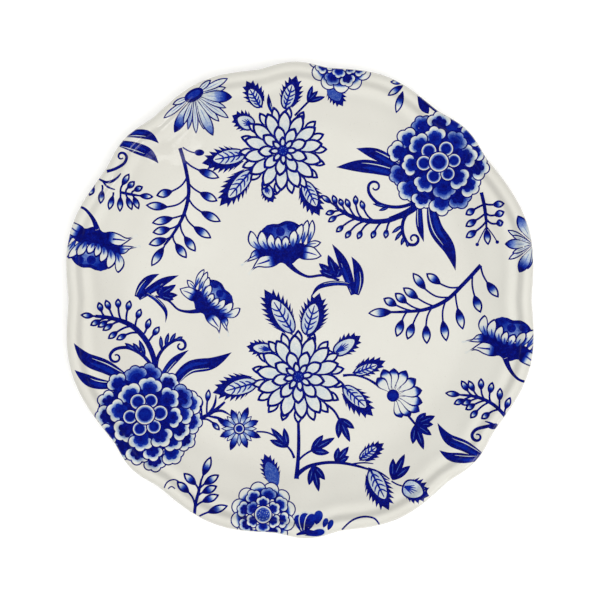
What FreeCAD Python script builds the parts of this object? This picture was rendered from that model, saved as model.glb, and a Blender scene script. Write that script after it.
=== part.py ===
"""A china dinner plate: a scalloped porcelain body, its clear glaze and its cobalt print.

Millimetres. +Z is up, +X is to the eater's right, and the origin is the centre of the
standing plane of the foot ring.
"""
import FreeCAD, Part
import math
import os

# ---------------------------------------------------------------- driving sizes
LIP_RADIUS = 130.4          # lip, measured at the ordinary dips of the outline
SIDE_NOTCH = 1.4            # how much deeper the two plain notches left and right are
BROAD_RISE = 3.05           # how far a broad lobe stands out beyond the dips
TONGUE_RISE = 2.35          # how far a small tongue stands out beyond the dips
LOBE_ROUNDNESS = 1.54       # power of the sine arch that makes each lobe
RIM_HEIGHT = 23.5           # glazed crest of the rolled rim above the standing plane
LIP_DROP = 2.6              # crest of the rim down to the widest line of the lip
LIP_THICKNESS = 3.6         # widest line of the lip down to the hollow under it
CREST_INSET = 4.8           # widest line in to the crest of the roll
GROOVE_INSET = 9.2          # widest line in to the groove that follows the outline
SHOULDER_INSET = 12.6       # widest line in to the shoulder inside the groove
GROOVE_DROP = 3.5           # crest down to the groove
SHOULDER_DROP = 4.1         # crest down to the shoulder
FLOOR_RADIUS = 84.0         # flat floor of the well
PLAIN_WALL = 0.36           # share of the wall, from the floor up, that shows no lobes
WALL = 4.4                  # upright thickness of the floor and the wall, glaze included
FOOT_RADIUS = 78.0          # outer radius of the foot ring
FOOT_WIDTH = 4.6            # foot ring, outside to inside
FOOT_HEIGHT = 3.0           # standing plane to the underside of the floor
FOOT_ROUNDING = 0.9         # rounded corners of the foot ring
GLAZE = 0.3                 # thickness of the clear glaze
BARE_FOOT = 1.3             # the glaze is wiped off the foot up to this height
INK = 0.05                  # thickness of the cobalt print

# Dips of the outline, degrees anticlockwise from +X. A wide gap carries a broad lobe
# and a narrow gap a small tongue. The dips at 0 and 180 are the plain notches.
DIP_ANGLES = (0, 37, 54, 83, 100, 129, 146, 180, 217, 233, 264, 280, 309, 326, 360)
WIDEST_TONGUE = 24          # degrees; a gap wider than this carries a broad lobe
OUTLINE_STEPS = 144         # points round the outline that the lobed spline passes through

FLOOR_Z = FOOT_HEIGHT + WALL
LIP_Z = RIM_HEIGHT - LIP_DROP
SHOULDER_RADIUS = LIP_RADIUS - SHOULDER_INSET
SHOULDER_Z = RIM_HEIGHT - SHOULDER_DROP


# ---------------------------------------------------------------- the lobed outline
def lobe_offset(angle):
    """How far the outline stands out beyond LIP_RADIUS at an angle in degrees."""
    for start, end in zip(DIP_ANGLES, DIP_ANGLES[1:]):
        if start <= angle < end:
            along = (angle - start) / (end - start)
            nearer_dip = start if along < 0.5 else end
            floor = -SIDE_NOTCH if nearer_dip % 180 == 0 else 0.0
            top = BROAD_RISE if end - start > WIDEST_TONGUE else TONGUE_RISE
            arch = math.sin(math.pi * along) ** LOBE_ROUNDNESS
            return floor + (top - floor) * arch
    raise ValueError(angle)


def closed_spline(radius_at):
    """A closed spline round the axis, through points at the radius given for each angle."""
    points = []
    for step in range(OUTLINE_STEPS):
        angle = 360.0 * step / OUTLINE_STEPS
        turn = math.radians(angle)
        points.append(FreeCAD.Vector(math.cos(turn), math.sin(turn), 0) * radius_at(angle))
    curve = Part.BSplineCurve()
    curve.interpolate(Points=points, PeriodicFlag=True, Parameters=list(range(OUTLINE_STEPS + 1)))
    return curve


UNIT_CIRCLE = closed_spline(lambda angle: 1.0)
UNIT_LOBES = closed_spline(lobe_offset)


# ---------------------------------------------------------------- profiles
# A profile point is (radius, share, height). The share says how much of the lobed
# outline the surface follows there: none on the floor, all of it at the lip.
def lobe_share(radius):
    along_wall = (radius - FLOOR_RADIUS) / (SHOULDER_RADIUS - FLOOR_RADIUS)
    along = min(max((along_wall - PLAIN_WALL) / (1 - PLAIN_WALL), 0.0), 1.0)
    return along * along * (3 - 2 * along)


def profile_point(radius, height):
    return FreeCAD.Vector(radius, lobe_share(radius), height)


def smooth(points, first_direction, last_direction):
    """A profile curve through the points, leaving and arriving in the given directions."""
    curve = Part.BSplineCurve()
    curve.interpolate(Points=points, Scale=False,
                      InitialTangent=FreeCAD.Vector(*first_direction),
                      FinalTangent=FreeCAD.Vector(*last_direction))
    return curve


def straight(start, end):
    return Part.LineSegment(start, end).toBSpline()


def rounded(start, corner, end):
    """A rounded corner between two straight stretches."""
    curve = Part.BezierCurve()
    curve.setPoles([start, corner, end])
    return curve.toBSpline()


OUTWARD = (1, 0, 0)
INWARD = (-1, 0, 0)
DOWNWARD = (0, 0, -1)


def wall_point(along, up):
    """A place on the wall: shares of the way out and up from the floor to the shoulder."""
    return profile_point(FLOOR_RADIUS + along * (SHOULDER_RADIUS - FLOOR_RADIUS),
                         FLOOR_Z + up * (SHOULDER_Z - FLOOR_Z))


WALL_FOOT = wall_point(0.33, 0.125)
WALL_MIDDLE = wall_point(0.62, 0.47)
WALL_TOP = wall_point(0.85, 0.80)
GROOVE = profile_point(LIP_RADIUS - GROOVE_INSET, RIM_HEIGHT - GROOVE_DROP)
LIP = profile_point(LIP_RADIUS, LIP_Z)


def face_profile():
    """The glazed face, from the edge of the floor up the wall and over to the lip."""
    crest = profile_point(LIP_RADIUS - CREST_INSET, RIM_HEIGHT)
    roll = profile_point(LIP_RADIUS - 0.3 * LIP_DROP, LIP_Z + 0.55 * LIP_DROP)
    points = [wall_point(0, 0), WALL_FOOT, WALL_MIDDLE, WALL_TOP, wall_point(1, 1),
              GROOVE, crest, roll, LIP]
    return smooth(points, OUTWARD, DOWNWARD)


def underneath(point):
    return point - FreeCAD.Vector(0, 0, WALL)


def underside_profile():
    """The glazed underside, from the lip round the hollow below it and down to the foot."""
    tuck = profile_point(LIP_RADIUS - 0.25 * LIP_THICKNESS, LIP_Z - 0.45 * LIP_THICKNESS)
    hollow = profile_point(LIP_RADIUS - CREST_INSET, LIP_Z - LIP_THICKNESS)
    foot_top = profile_point(FOOT_RADIUS + GLAZE + FOOT_ROUNDING, FOOT_HEIGHT)
    under_middle = underneath(WALL_MIDDLE)
    under_bend = profile_point((foot_top.x + under_middle.x) / 2,
                               FOOT_HEIGHT + 0.23 * (under_middle.z - FOOT_HEIGHT))
    points = [LIP, tuck, hollow, underneath(GROOVE), underneath(WALL_TOP), under_middle,
              under_bend, foot_top]
    return smooth(points, DOWNWARD, INWARD)


def moved_off(curve, distance):
    """The same curve moved sideways: outwards from the clay, or into it if negative."""
    moved = []
    tangents = []
    for knot in curve.getKnots():
        point = curve.value(knot)
        along = curve.getDN(knot, 1)
        length = math.hypot(along.x, along.z)
        moved.append(point + FreeCAD.Vector(-along.z, 0, along.x) * (distance / length))
        tangents.append(along)
    result = Part.BSplineCurve()
    result.interpolate(Points=moved, Parameters=curve.getKnots(), Scale=False,
                       InitialTangent=tangents[0], FinalTangent=tangents[-1])
    return result


# ---------------------------------------------------------------- solids from profiles
def scalloped_face(curve):
    """The surface that a profile makes as it goes once round the lobed outline."""
    poles = []
    for circle, lobes in zip(UNIT_CIRCLE.getPoles(), UNIT_LOBES.getPoles()):
        poles.append([FreeCAD.Vector(point.x * circle.x + point.y * lobes.x,
                                     point.x * circle.y + point.y * lobes.y, point.z)
                      for point in curve.getPoles()])
    surface = Part.BSplineSurface()
    surface.buildFromPolesMultsKnots(
        poles, UNIT_CIRCLE.getMultiplicities(), curve.getMultiplicities(),
        UNIT_CIRCLE.getKnots(), curve.getKnots(), True, False,
        UNIT_CIRCLE.Degree, curve.Degree)
    return surface.toShape()


def ring_at(point):
    """The circle that a profile point without lobes makes as it goes round the axis."""
    ring = UNIT_CIRCLE.copy()
    for index, pole in enumerate(UNIT_CIRCLE.getPoles(), start=1):
        ring.setPole(index, FreeCAD.Vector(pole.x * point.x, pole.y * point.x, point.z))
    return Part.Wire([ring.toShape()])


def is_level(curve):
    start, end = curve.StartPoint, curve.EndPoint
    without_lobes = start.y == 0 and end.y == 0
    return without_lobes and start.z == end.z and curve.Degree == 1


def flat_ring(curve):
    """The flat face that a level profile makes as it goes round the axis."""
    outer, inner = sorted((curve.StartPoint, curve.EndPoint), key=lambda point: -point.x)
    return Part.Face([ring_at(outer), ring_at(inner)])


def turned_face(curve):
    return flat_ring(curve) if is_level(curve) else scalloped_face(curve)


def solid_from(faces):
    shell = Part.Shell(faces)
    shell.sewShape()
    shell = shell.Shells[0]
    solid = Part.Solid(shell)
    if solid.Volume < 0:
        solid.reverse()
    return solid


def turned_solid(curves):
    """A solid that reaches the axis, from its profile curves in order from top to bottom."""
    faces = [turned_face(curve) for curve in curves]
    for on_axis in (curves[0].StartPoint, curves[-1].EndPoint):
        faces.append(Part.Face(ring_at(on_axis)))
    return solid_from(faces)


# ---------------------------------------------------------------- the ware
def backwards(curve):
    reverse = curve.copy()
    reverse.reverse()
    return reverse


def foot_side(bare_radius, away_from_clay, glaze):
    """One side of the foot ring from the floor's underside down to where the glaze ends.

    away_from_clay is +1 on the outer side of the ring and -1 on the inner side.
    """
    wall = bare_radius + away_from_clay * glaze
    ceiling = FOOT_HEIGHT + GLAZE - glaze
    turn_end = bare_radius + away_from_clay * (GLAZE + FOOT_ROUNDING)
    wall_top = profile_point(wall, FOOT_HEIGHT - FOOT_ROUNDING)
    corner = rounded(profile_point(turn_end, ceiling), profile_point(wall, ceiling), wall_top)
    return [corner, straight(wall_top, profile_point(wall, BARE_FOOT))]


def bare_foot():
    """The unglazed foot that the plate stands on, from its outer side to its inner side."""
    outer = FOOT_RADIUS
    inner = FOOT_RADIUS - FOOT_WIDTH
    outer_start = profile_point(outer, FOOT_ROUNDING)
    outer_end = profile_point(outer - FOOT_ROUNDING, 0)
    inner_start = profile_point(inner + FOOT_ROUNDING, 0)
    inner_end = profile_point(inner, FOOT_ROUNDING)
    return [straight(profile_point(outer, BARE_FOOT), outer_start),
            rounded(outer_start, profile_point(outer, 0), outer_end),
            straight(outer_end, inner_start),
            rounded(inner_start, profile_point(inner, 0), inner_end),
            straight(inner_end, profile_point(inner, BARE_FOOT))]


def glaze_end(bare_radius, away_from_clay):
    """The narrow edge where the glaze stops on the foot, from its surface to the clay."""
    return straight(profile_point(bare_radius + away_from_clay * GLAZE, BARE_FOOT),
                    profile_point(bare_radius, BARE_FOOT))


def outer_surface(glaze_left):
    """Face, lip, underside and outer foot side, with or without the glaze on them."""
    curves = [face_profile(), underside_profile()]
    if not glaze_left:
        curves = [moved_off(curve, -GLAZE) for curve in curves]
    return curves + foot_side(FOOT_RADIUS, 1, GLAZE if glaze_left else 0.0)


def recess_surface(glaze_left):
    """Inner foot side and the ceiling inside the foot, with or without the glaze."""
    return foot_side(FOOT_RADIUS - FOOT_WIDTH, -1, GLAZE if glaze_left else 0.0)


def going_back(curves):
    return [backwards(curve) for curve in reversed(curves)]


def porcelain_body():
    return turned_solid(outer_surface(False) + bare_foot() + going_back(recess_surface(False)))


def face_glaze():
    edge = [glaze_end(FOOT_RADIUS, 1)]
    return turned_solid(outer_surface(True) + edge + going_back(outer_surface(False)))


def recess_glaze():
    edge = [backwards(glaze_end(FOOT_RADIUS - FOOT_WIDTH, -1))]
    return turned_solid(recess_surface(False) + edge + going_back(recess_surface(True)))


def ink_sheet():
    """A sheet as thick as the print, lying on the whole glazed face."""
    face = face_profile()
    top = moved_off(face, INK)
    edge = straight(top.value(top.LastParameter), face.value(face.LastParameter))
    return turned_solid([top, edge, backwards(face)])


# ---------------------------------------------------------------- print outlines
# Places on the face are (x, y), seen from above, for a plate with the lip radius
# PRINT_LIP_RADIUS; a plate of another size gets the same print scaled to it. Each patch
# keeps only its outline here: leaves and buds are pointed ovals, flowers scalloped discs.
PRINT_LIP_RADIUS = 130.4
STEM = 1.6                  # width of a printed stem
TWIG = 1.0                  # width of a printed twig


def at(place):
    return FreeCAD.Vector(place[0], place[1], 0)


def side_step(start, end, distance):
    """The step of a given length to the left of the way from start to end."""
    way = end - start
    return FreeCAD.Vector(-way.y, way.x, 0) * (distance / way.Length)


def flat_face(edges):
    return Part.Face(Part.Plane(), Part.Wire(edges))


def leaf(base, tip, width):
    """A pointed oval between two places."""
    start, end = at(base), at(tip)
    middle = (start + end) * 0.5
    half = side_step(start, end, width / 2)
    return flat_face([Part.Arc(start, middle + half, end).toShape(),
                      Part.Arc(end, middle - half, start).toShape()])


def disc(centre, radius):
    return flat_face([Part.Circle(at(centre), FreeCAD.Vector(0, 0, 1), radius).toShape()])


def flower(centre, radius, petals, dip):
    """A disc with a scalloped edge: one arc for each petal, and a dip between them."""
    edges = []
    middle = at(centre)
    for petal in range(petals):
        turns = [math.tau * (petal + part) / petals for part in (0.0, 0.5, 1.0)]
        reach = (radius - dip, radius, radius - dip)
        ends = [middle + FreeCAD.Vector(math.cos(turn), math.sin(turn), 0) * distance
                for turn, distance in zip(turns, reach)]
        edges.append(Part.Arc(*ends).toShape())
    return flat_face(edges)


def patch(places):
    """A smooth closed outline through a few places."""
    curve = Part.BSplineCurve()
    curve.interpolate(Points=[at(place) for place in places], PeriodicFlag=True)
    return flat_face([curve.toShape()])


def stem(places, width=STEM):
    """A band of even width along a smooth line through the places."""
    line = Part.BSplineCurve()
    line.interpolate(Points=[at(place) for place in places])
    sides = []
    for half in (width / 2, -width / 2):
        points = []
        for knot in line.getKnots():
            point = line.value(knot)
            points.append(point + side_step(point, point + line.getDN(knot, 1), half))
        side = Part.BSplineCurve()
        side.interpolate(Points=points, Parameters=line.getKnots())
        sides.append(side)
    left, right = sides
    return flat_face([left.toShape(),
                      Part.LineSegment(left.EndPoint, right.EndPoint).toShape(),
                      right.toShape(),
                      Part.LineSegment(right.StartPoint, left.StartPoint).toShape()])


def buds(pairs, width):
    """Pointed buds, each given as the place it grows from and the place of its tip."""
    return [leaf(base, tip, width) for base, tip in pairs]


def twigs(pairs):
    """Short straight twigs between pairs of places."""
    return [stem([start, end], TWIG) for start, end in pairs]


# ---------------------------------------------------------------- the printed patches
def low_dahlia():
    """The large dahlia below the middle, its leaves, its stem and the low branch."""
    return [
        flower((-1, -43), 26.5, 16, 2.5),
        leaf((4, -21), (11, 3), 15), leaf((-4, -20), (-20, 5), 15),
        leaf((-22, -44), (-48, -52), 14), leaf((-14, -28), (-30, -26), 9),
        leaf((18, -30), (34, -20), 10), leaf((27, -41), (48, -34), 9),
        leaf((22, -49), (41, -65), 12),
        stem([(14, -58), (19, -62), (22, -67)]), leaf((22, -66), (28, -79), 8),
        stem([(-1, -66), (-1, -84), (-2, -100)], 2.2),
        stem([(-2, -97), (8, -92), (22, -91), (36, -94), (50, -102)], 1.8),
        leaf((5, -85), (19, -77), 8), leaf((20, -91), (27, -82), 7),
        stem([(-1, -90), (2, -87), (7, -84)]),
        leaf((31, -90), (47, -80), 8), leaf((7, -92), (10, -106), 8),
        leaf((38, -94), (49, -117), 14), leaf((51, -101), (58, -87), 9),
        stem([(49, -101), (54, -103), (60, -105)], TWIG), leaf((57, -104), (74, -108), 13)]


def half_aster():
    """The half-open aster at the right of the dahlia, with the leaves below it."""
    return [
        stem([(26, -42.6), (35, -44), (44, -48)]),
        disc((52, -53.5), 4),
        patch([(43, -45), (49, -39), (57, -39), (65, -45), (68, -55), (66, -62), (58, -62),
               (50, -56)]),
        stem([(59, -63), (62, -67), (65, -70)]),
        leaf((63, -70), (74, -63), 8), leaf((65, -69), (68, -83), 9)]


def upper_dahlia():
    """The dahlia above the middle with its leaves."""
    return [
        flower((-9.5, 83.5), 23, 16, 2.5),
        leaf((-19, 107), (-30, 121), 12), leaf((-8, 106), (-2, 125), 12),
        leaf((-25, 97), (-37, 103), 11), leaf((-30, 81), (-55, 76), 13),
        leaf((-27, 74), (-45, 52), 13), leaf((-20, 65), (-15, 55), 8),
        leaf((1, 67), (10, 47), 12), leaf((-16, 105), (-17, 115), 4),
        stem([(-19, 70), (-20, 66), (-19, 63)]), stem([(-30, 82), (-33, 81)]),
        stem([(-3, 103), (1, 107), (5, 111)], TWIG), leaf((4, 110), (7, 119), 4),
        leaf((5, 110), (13, 113), 4)]


def right_peony():
    """The peony at the upper right: flower, blades, scrolls and the sprig of buds."""
    above = [((20, 52), (17, 58)), ((24, 49), (21, 57)), ((28, 48), (26, 57)),
             ((33, 50), (31, 58)), ((37, 49), (34, 56))]
    below = [((22, 51), (15, 48)), ((24, 48), (16, 44)), ((26, 45), (20, 38)),
             ((30, 42), (25, 34)), ((35, 42), (32, 34)), ((43, 42), (40, 34)),
             ((50, 43), (48, 34))]
    return [
        flower((77.5, 77), 28.5, 14, 2.2),
        leaf((54, 72), (31.5, 84.5), 5), leaf((55, 69), (20.5, 74.5), 6),
        stem([(67, 57), (60, 53), (50, 52.5), (41, 56), (38, 63), (42, 67), (45, 64)], 2),
        stem([(66, 54), (58, 48), (50, 44.5), (40, 44), (30, 46), (20, 52)], 2),
        leaf((21, 51), (14, 58), 4),
        stem([(61, 50), (57, 42), (59, 34), (63, 31), (67, 33), (65, 36)], 2),
        stem([(67, 52), (67.5, 42), (69, 33)], 3.4),
        leaf((72, 53), (87, 17), 7),
        stem([(101, 58), (103, 50), (104, 42)], TWIG), leaf((104, 42), (105, 30), 5),
        leaf((104, 52), (114, 53), 4), leaf((104, 46), (113, 42), 4),
        leaf((102, 54), (93, 48), 4), leaf((103, 47), (92, 41), 5),
        leaf((101, 41), (93, 35), 5)] + buds(above, 2.6) + buds(below, 2.8)


def left_peony():
    """The peony at the lower left: flower, blades, scrolls and two sprigs of buds."""
    above = [((-109, -10), (-113, -1)), ((-104, -9), (-109, 0)), ((-101, -8), (-102, 1)),
             ((-97, -12), (-95, -1)), ((-92, -15), (-89, -5)), ((-87, -19), (-84, -11)),
             ((-84, -23), (-78, -15))]
    below = [((-109, -10), (-117, -14)), ((-105, -11), (-113, -15)),
             ((-101, -13), (-110, -17)), ((-97, -16), (-107, -21)), ((-93, -18), (-102, -22))]
    right = [((-60, -62), (-57, -55)), ((-53, -61), (-51, -50)), ((-49, -62), (-46, -56)),
             ((-50, -63), (-43, -60)), ((-52, -65), (-48, -71))]
    return [
        flower((-86.5, -64), 28.5, 14, 2.2),
        leaf((-98, -43), (-125.5, -25), 8), leaf((-105, -47), (-125, -40), 6),
        leaf((-77, -45), (-38, -30), 8), stem([(-78, -42), (-72, -35), (-63, -29)], 3),
        stem([(-81, -38), (-82, -30), (-90, -18), (-101, -11), (-113, -9)], 2.4),
        leaf((-112, -9), (-123, -8), 4),
        stem([(-82, -36), (-90, -29), (-98, -26.5), (-105, -29), (-106, -33), (-102, -35)], 2),
        stem([(-81, -38), (-78, -30), (-72, -24), (-65, -23), (-64, -27), (-68, -28)], 2),
        stem([(-60, -67), (-50, -64), (-43, -59)]),
        leaf((-86, -30), (-90, -22), 4)] + buds(above, 2.8) + buds(below, 2.8) + buds(right, 3.4)


def star_flower():
    """The small eight-pointed flower and the leaves on its stem."""
    rays = []
    for ray in range(8):
        turn = math.tau * ray / 8
        tip = (-34 + 12.5 * math.cos(turn), -72 + 12.5 * math.sin(turn))
        rays.append(leaf((-34, -72), tip, 5))
    return rays + [
        disc((-34, -72), 5),
        stem([(-24, -74), (-18, -74.5), (-13, -77)], TWIG), leaf((-7, -82), (-16, -72), 6),
        leaf((-8, -81), (-9, -72), 4), stem([(-8, -80), (-5, -84), (-3.5, -87)], STEM)]


def middle_lotus():
    """The cup-shaped flower in the middle, with the bud and the blades on its stem."""
    return [
        patch([(-5, 20), (-14, 23), (-20, 28), (-28, 37), (-20, 42), (-8, 44), (2, 41),
               (8, 43), (11, 32), (11, 24), (2, 22)]),
        leaf((-17, 27), (-32, 19), 5), leaf((-12, 22), (-29, 14), 5),
        stem([(-6, 20.5), (-2, 16), (4, 13), (14, 14), (26, 9)], 2),
        leaf((18, 13), (14, 25), 8), leaf((30, 5), (18, 31), 7), leaf((30, 5), (29, 24), 6),
        leaf((26, 8.5), (8, 6), 3)]


def left_lotus():
    """The cup-shaped flower at the left, with its leaves."""
    return [
        patch([(-60, -5), (-63, 3), (-66, 7), (-60, 10), (-55, 15), (-50, 11), (-42, 8),
               (-38, 1), (-34, -6), (-42, -10), (-51, -10)]),
        leaf((-53, -7), (-45, -21), 5), leaf((-48, -8), (-40, -20), 5),
        stem([(-73, 0), (-68, -5), (-58, -5)], 2),
        leaf((-88, 1), (-78, 15), 8), leaf((-86, 3), (-67, 14), 5), leaf((-84, 1), (-73, -10), 5),
        stem([(-87, 2), (-80, 4), (-73, 0)], 2), leaf((-74, 2), (-68, 9), 5)]


def left_edge_lotus():
    """The cup-shaped flower that the left rim cuts off."""
    return [
        patch([(-116, 41), (-124, 36), (-128, 24), (-122, 18), (-112, 15), (-102, 16),
               (-100, 24), (-104, 34), (-111, 38)]),
        leaf((-110, 36), (-91, 36), 6), leaf((-106, 30), (-90, 30), 4),
        stem([(-114, 39), (-117, 46), (-122, 51)])]


def right_edge_lotus():
    """The cup-shaped flower that the right rim cuts off."""
    return [
        patch([(112, -32), (105, -27), (101, -13), (103, -8), (110, -11), (116, -9),
               (124, -11), (131, -17), (131, -34), (122, -33)]),
        leaf((106, -22), (90, -23.5), 5), leaf((106, -27), (91, -30), 5),
        stem([(115, -32), (119, -40), (124, -46)])]


def upper_bud_sprig():
    """The hanging sprig of buds at the upper left."""
    right = [((-58, 73), (-45, 68.5)), ((-56, 60), (-47, 56)), ((-56, 49), (-44, 43.5)),
             ((-60, 41), (-49.5, 34.5)), ((-65, 36), (-58.5, 27)), ((-70, 32), (-63, 23.5))]
    left = [((-70, 61), (-80, 58.5)), ((-73, 52), (-86, 53)), ((-70, 46), (-83, 43)),
            ((-71, 39.5), (-83, 37.5)), ((-73, 34), (-85, 31)), ((-75.5, 31), (-83, 19))]
    joints = [((-64, 78), (-57, 73)), ((-63, 66), (-55, 60)), ((-62, 56), (-55, 49)),
              ((-64, 47), (-59, 41)), ((-67, 43), (-64, 36)), ((-71, 38), (-69, 32)),
              ((-63, 68), (-71, 61)), ((-62, 59), (-74, 52)), ((-65, 49), (-71, 46)),
              ((-67, 43), (-72, 39.5)), ((-71, 38), (-74, 34)), ((-66, 84), (-56, 82))]
    return [stem([(-66.5, 85), (-63.5, 73), (-62, 60), (-65, 48), (-71, 37), (-76, 30)])] + (
        buds(right, 4.4) + buds(left, 4.4) + twigs(joints) + [disc((-55, 82.3), 1.6)])


def right_bud_sprig():
    """The arching sprig of buds at the right."""
    above = [((79, 9), (71, 15)), ((70, 6), (63, 15)), ((66, 1), (58, 7)), ((59, -2), (52, 4)),
             ((54, -3), (47, 1)), ((104, 10), (110.5, 1))]
    below = [((97, 2), (101, -7.5)), ((88, -4), (91, -17)), ((80, -10), (82, -23.5)),
             ((71, -13), (71, -25)), ((64, -12), (60, -22.5)), ((58, -10), (54, -21))]
    joints = [((91, 8), (78, 9)), ((84, 2), (69, 6)), ((76, -3), (65, 1)), ((66, -6), (58, -2)),
              ((60, -6.5), (53, -3)), ((101, 19), (104, 10)), ((96.5, 13), (97, 1)),
              ((88, 5), (88, -5)), ((82, 0), (80, -11)), ((74, -4), (71, -14)),
              ((67, -6), (63.5, -13)), ((60, -6.5), (57.5, -11))]
    return [stem([(101, 20), (91, 8), (82, 0), (70, -5.5), (60, -6.5), (51, -6.8)])] + (
        buds(above, 4.2) + buds(below, 4.4) + twigs(joints) + [leaf((52, -6.7), (38, -7.5), 5)])


def top_left_aster():
    """The aster that the rim cuts off at the upper left."""
    tips = [((-75, 101), 4), (( -70, 93), 6), ((-62.5, 95), 4), ((-57, 93), 5), ((-48, 92.5), 7),
            ((-45, 100), 4), ((-40, 102), 5), ((-38, 113), 7), ((-41, 118), 4), ((-40, 123), 5),
            ((-71, 108), 4), ((-50, 123), 4)]
    return [disc((-59, 113), 6)] + [leaf((-59, 114), tip, width) for tip, width in tips]


def right_edge_aster():
    """The aster that the rim cuts off at the right."""
    tips = [((120.5, 47), 5), ((115.5, 39), 3), ((114, 31), 6), ((116, 22), 3), ((121.5, 15.5), 5),
            ((127, 17), 4)]
    return [leaf((129, 31), tip, width) for tip, width in tips]


def bottom_rose():
    """The rose at the bottom rim with the leaf above it."""
    return [flower((-20.5, -119.5), 18.5, 10, 1.8), leaf((-14, -103), (-19.5, -87), 9)]


def top_rose():
    """The rose that the rim cuts off at the top, with its leaf."""
    return [flower((23, 131), 16, 10, 1.6), leaf((19, 118), (24, 108), 8)]


def top_left_blades():
    """The two blades and the scroll at the upper left rim."""
    return [leaf((-97, 94), (-79, 87.5), 5), leaf((-101, 88), (-79, 76.5), 6),
            stem([(-107, 71), (-101, 75), (-97, 78), (-98, 83), (-101, 82), (-100, 79)], 1.4)]


def left_edge_sprig():
    """The small sprig of buds at the left rim."""
    hanging = [((-110, 62), (-111, 53.5)), ((-104, 59), (-106, 50)), ((-100, 58), (-100.5, 49)),
               ((-98, 59), (-94, 50)), ((-94, 59), (-90.5, 51)), ((-115, 63), (-117, 58))]
    standing = [((-100, 63), (-95, 70.5)), ((-97, 62), (-92, 66)), ((-94, 61), (-88, 63)),
                ((-92, 58), (-82, 57.5))]
    return [stem([(-100, 60), (-95, 59), (-91, 58)], TWIG),
            stem([(-112, 67), (-106, 66), (-100, 70)], 1.4),
            stem([(-110, 66), (-108, 63), (-102, 60)], TWIG)] + (
        buds(hanging, 3) + buds(standing, 3))


def top_buds():
    """The three buds that hang from the rim at the upper right."""
    return buds([((57, 116), (53.5, 104)), ((57, 120), (49, 114)), ((57, 121), (50, 122))], 4)


def right_edge_sprig():
    """The sprig of buds and the scroll at the lower right rim."""
    above = [((94, -53), (90, -45)), ((98, -53), (94, -45)), ((101, -53), (101, -43.5)),
             ((104, -55), (107, -45.5)), ((110, -58), (112, -49)), ((114, -61), (117, -54))]
    below = [((94, -54), (86, -58)), ((99, -54), (90, -58)), ((102, -56), (92, -61)),
             ((102, -57), (95, -66)), ((108, -61), (101, -66))]
    return [stem([(114, -64), (106, -57), (98, -53.5), (90, -52.5)]),
            leaf((90, -52.5), (81, -52), 4),
            stem([(109, -70), (102, -70), (96, -73), (97, -77), (101, -76), (99, -73)], 1.4)] + (
        buds(above, 3) + buds(below, 3))


def right_low_blades():
    """The two blades at the lower right rim."""
    return [leaf((102, -86), (77, -69), 6), leaf((99, -88), (78, -84), 6)]


def bottom_left_sprig():
    """The sprig of buds and the ring scroll at the lower left rim."""
    pairs = [((-55, -101), (-50, -87)), ((-58, -103), (-65, -96)), ((-54, -104), (-45, -98)),
             ((-55, -108), (-46, -104)), ((-55, -113), (-45, -109)), ((-52, -118), (-40, -115)),
             ((-62, -107), (-69, -101))]
    joints = [((-56, -106), (-54.5, -100)), ((-56, -108), (-59, -102)), ((-57, -112), (-54, -104)),
              ((-57, -116), (-54, -112)), ((-59, -116), (-61, -106)), ((-56, -121), (-51, -118))]
    return [stem([(-59, -119), (-57, -112), (-56, -105)])] + (
        buds(pairs, 4) + twigs(joints)
        + [stem([(-76, -105), (-74, -101), (-70, -100), (-67, -102)], TWIG)])


def bottom_flower():
    """The dark flower that the bottom rim cuts off."""
    return [patch([(1, -122), (4, -119), (9, -117), (13, -120), (13, -124), (18, -122),
                   (19, -126), (12, -132), (3, -134)])]


def bottom_loop():
    """The loose tendril at the bottom rim."""
    return [stem([(24, -127), (30, -122), (37, -120.5), (42, -122), (44, -125)], TWIG)]


PRINTED = (low_dahlia, half_aster, upper_dahlia, right_peony, left_peony, star_flower,
           middle_lotus, left_lotus, left_edge_lotus, right_edge_lotus, upper_bud_sprig,
           right_bud_sprig, top_left_aster, right_edge_aster, bottom_rose, top_rose,
           top_left_blades, left_edge_sprig, top_buds, right_edge_sprig, right_low_blades,
           bottom_left_sprig, bottom_flower, bottom_loop)


def printed_patch(faces, sheet):
    """The part of the ink sheet that lies above the joined outlines."""
    outline = faces[0]
    if len(faces) > 1:
        pieces = outline.multiFuse(faces[1:]).Faces
        outline = Part.makeShell(pieces).removeSplitter()
    outline = outline.scaled(LIP_RADIUS / PRINT_LIP_RADIUS)
    above = FreeCAD.Vector(0, 0, 2 * RIM_HEIGHT)
    columns = Part.makeCompound([face.extrude(above) for face in outline.Faces])
    return sheet.common(columns)


# ---------------------------------------------------------------- files
def save(name, shape):
    shape.exportStep(os.path.join("parts", name + ".step"))
    print(name, round(shape.Volume, 2))


def main():
    os.makedirs("parts", exist_ok=True)
    save("porcelain_body", porcelain_body())
    save("face_glaze", face_glaze())
    save("foot_recess_glaze", recess_glaze())
    sheet = ink_sheet()
    for motif in PRINTED:
        save("print_" + motif.__name__, printed_patch(motif(), sheet))


main()
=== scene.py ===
"""A china dinner plate: glazed porcelain with a scalloped rolled rim and a cobalt print.

Sizes are millimetres up to the point where a mesh is written, which is in metres.
Places on the face are complex numbers: x to the right, y away from the eater.
"""
import cmath
import math
import random

import bpy
import numpy as np
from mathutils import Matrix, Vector
from mathutils.geometry import delaunay_2d_cdt


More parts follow.
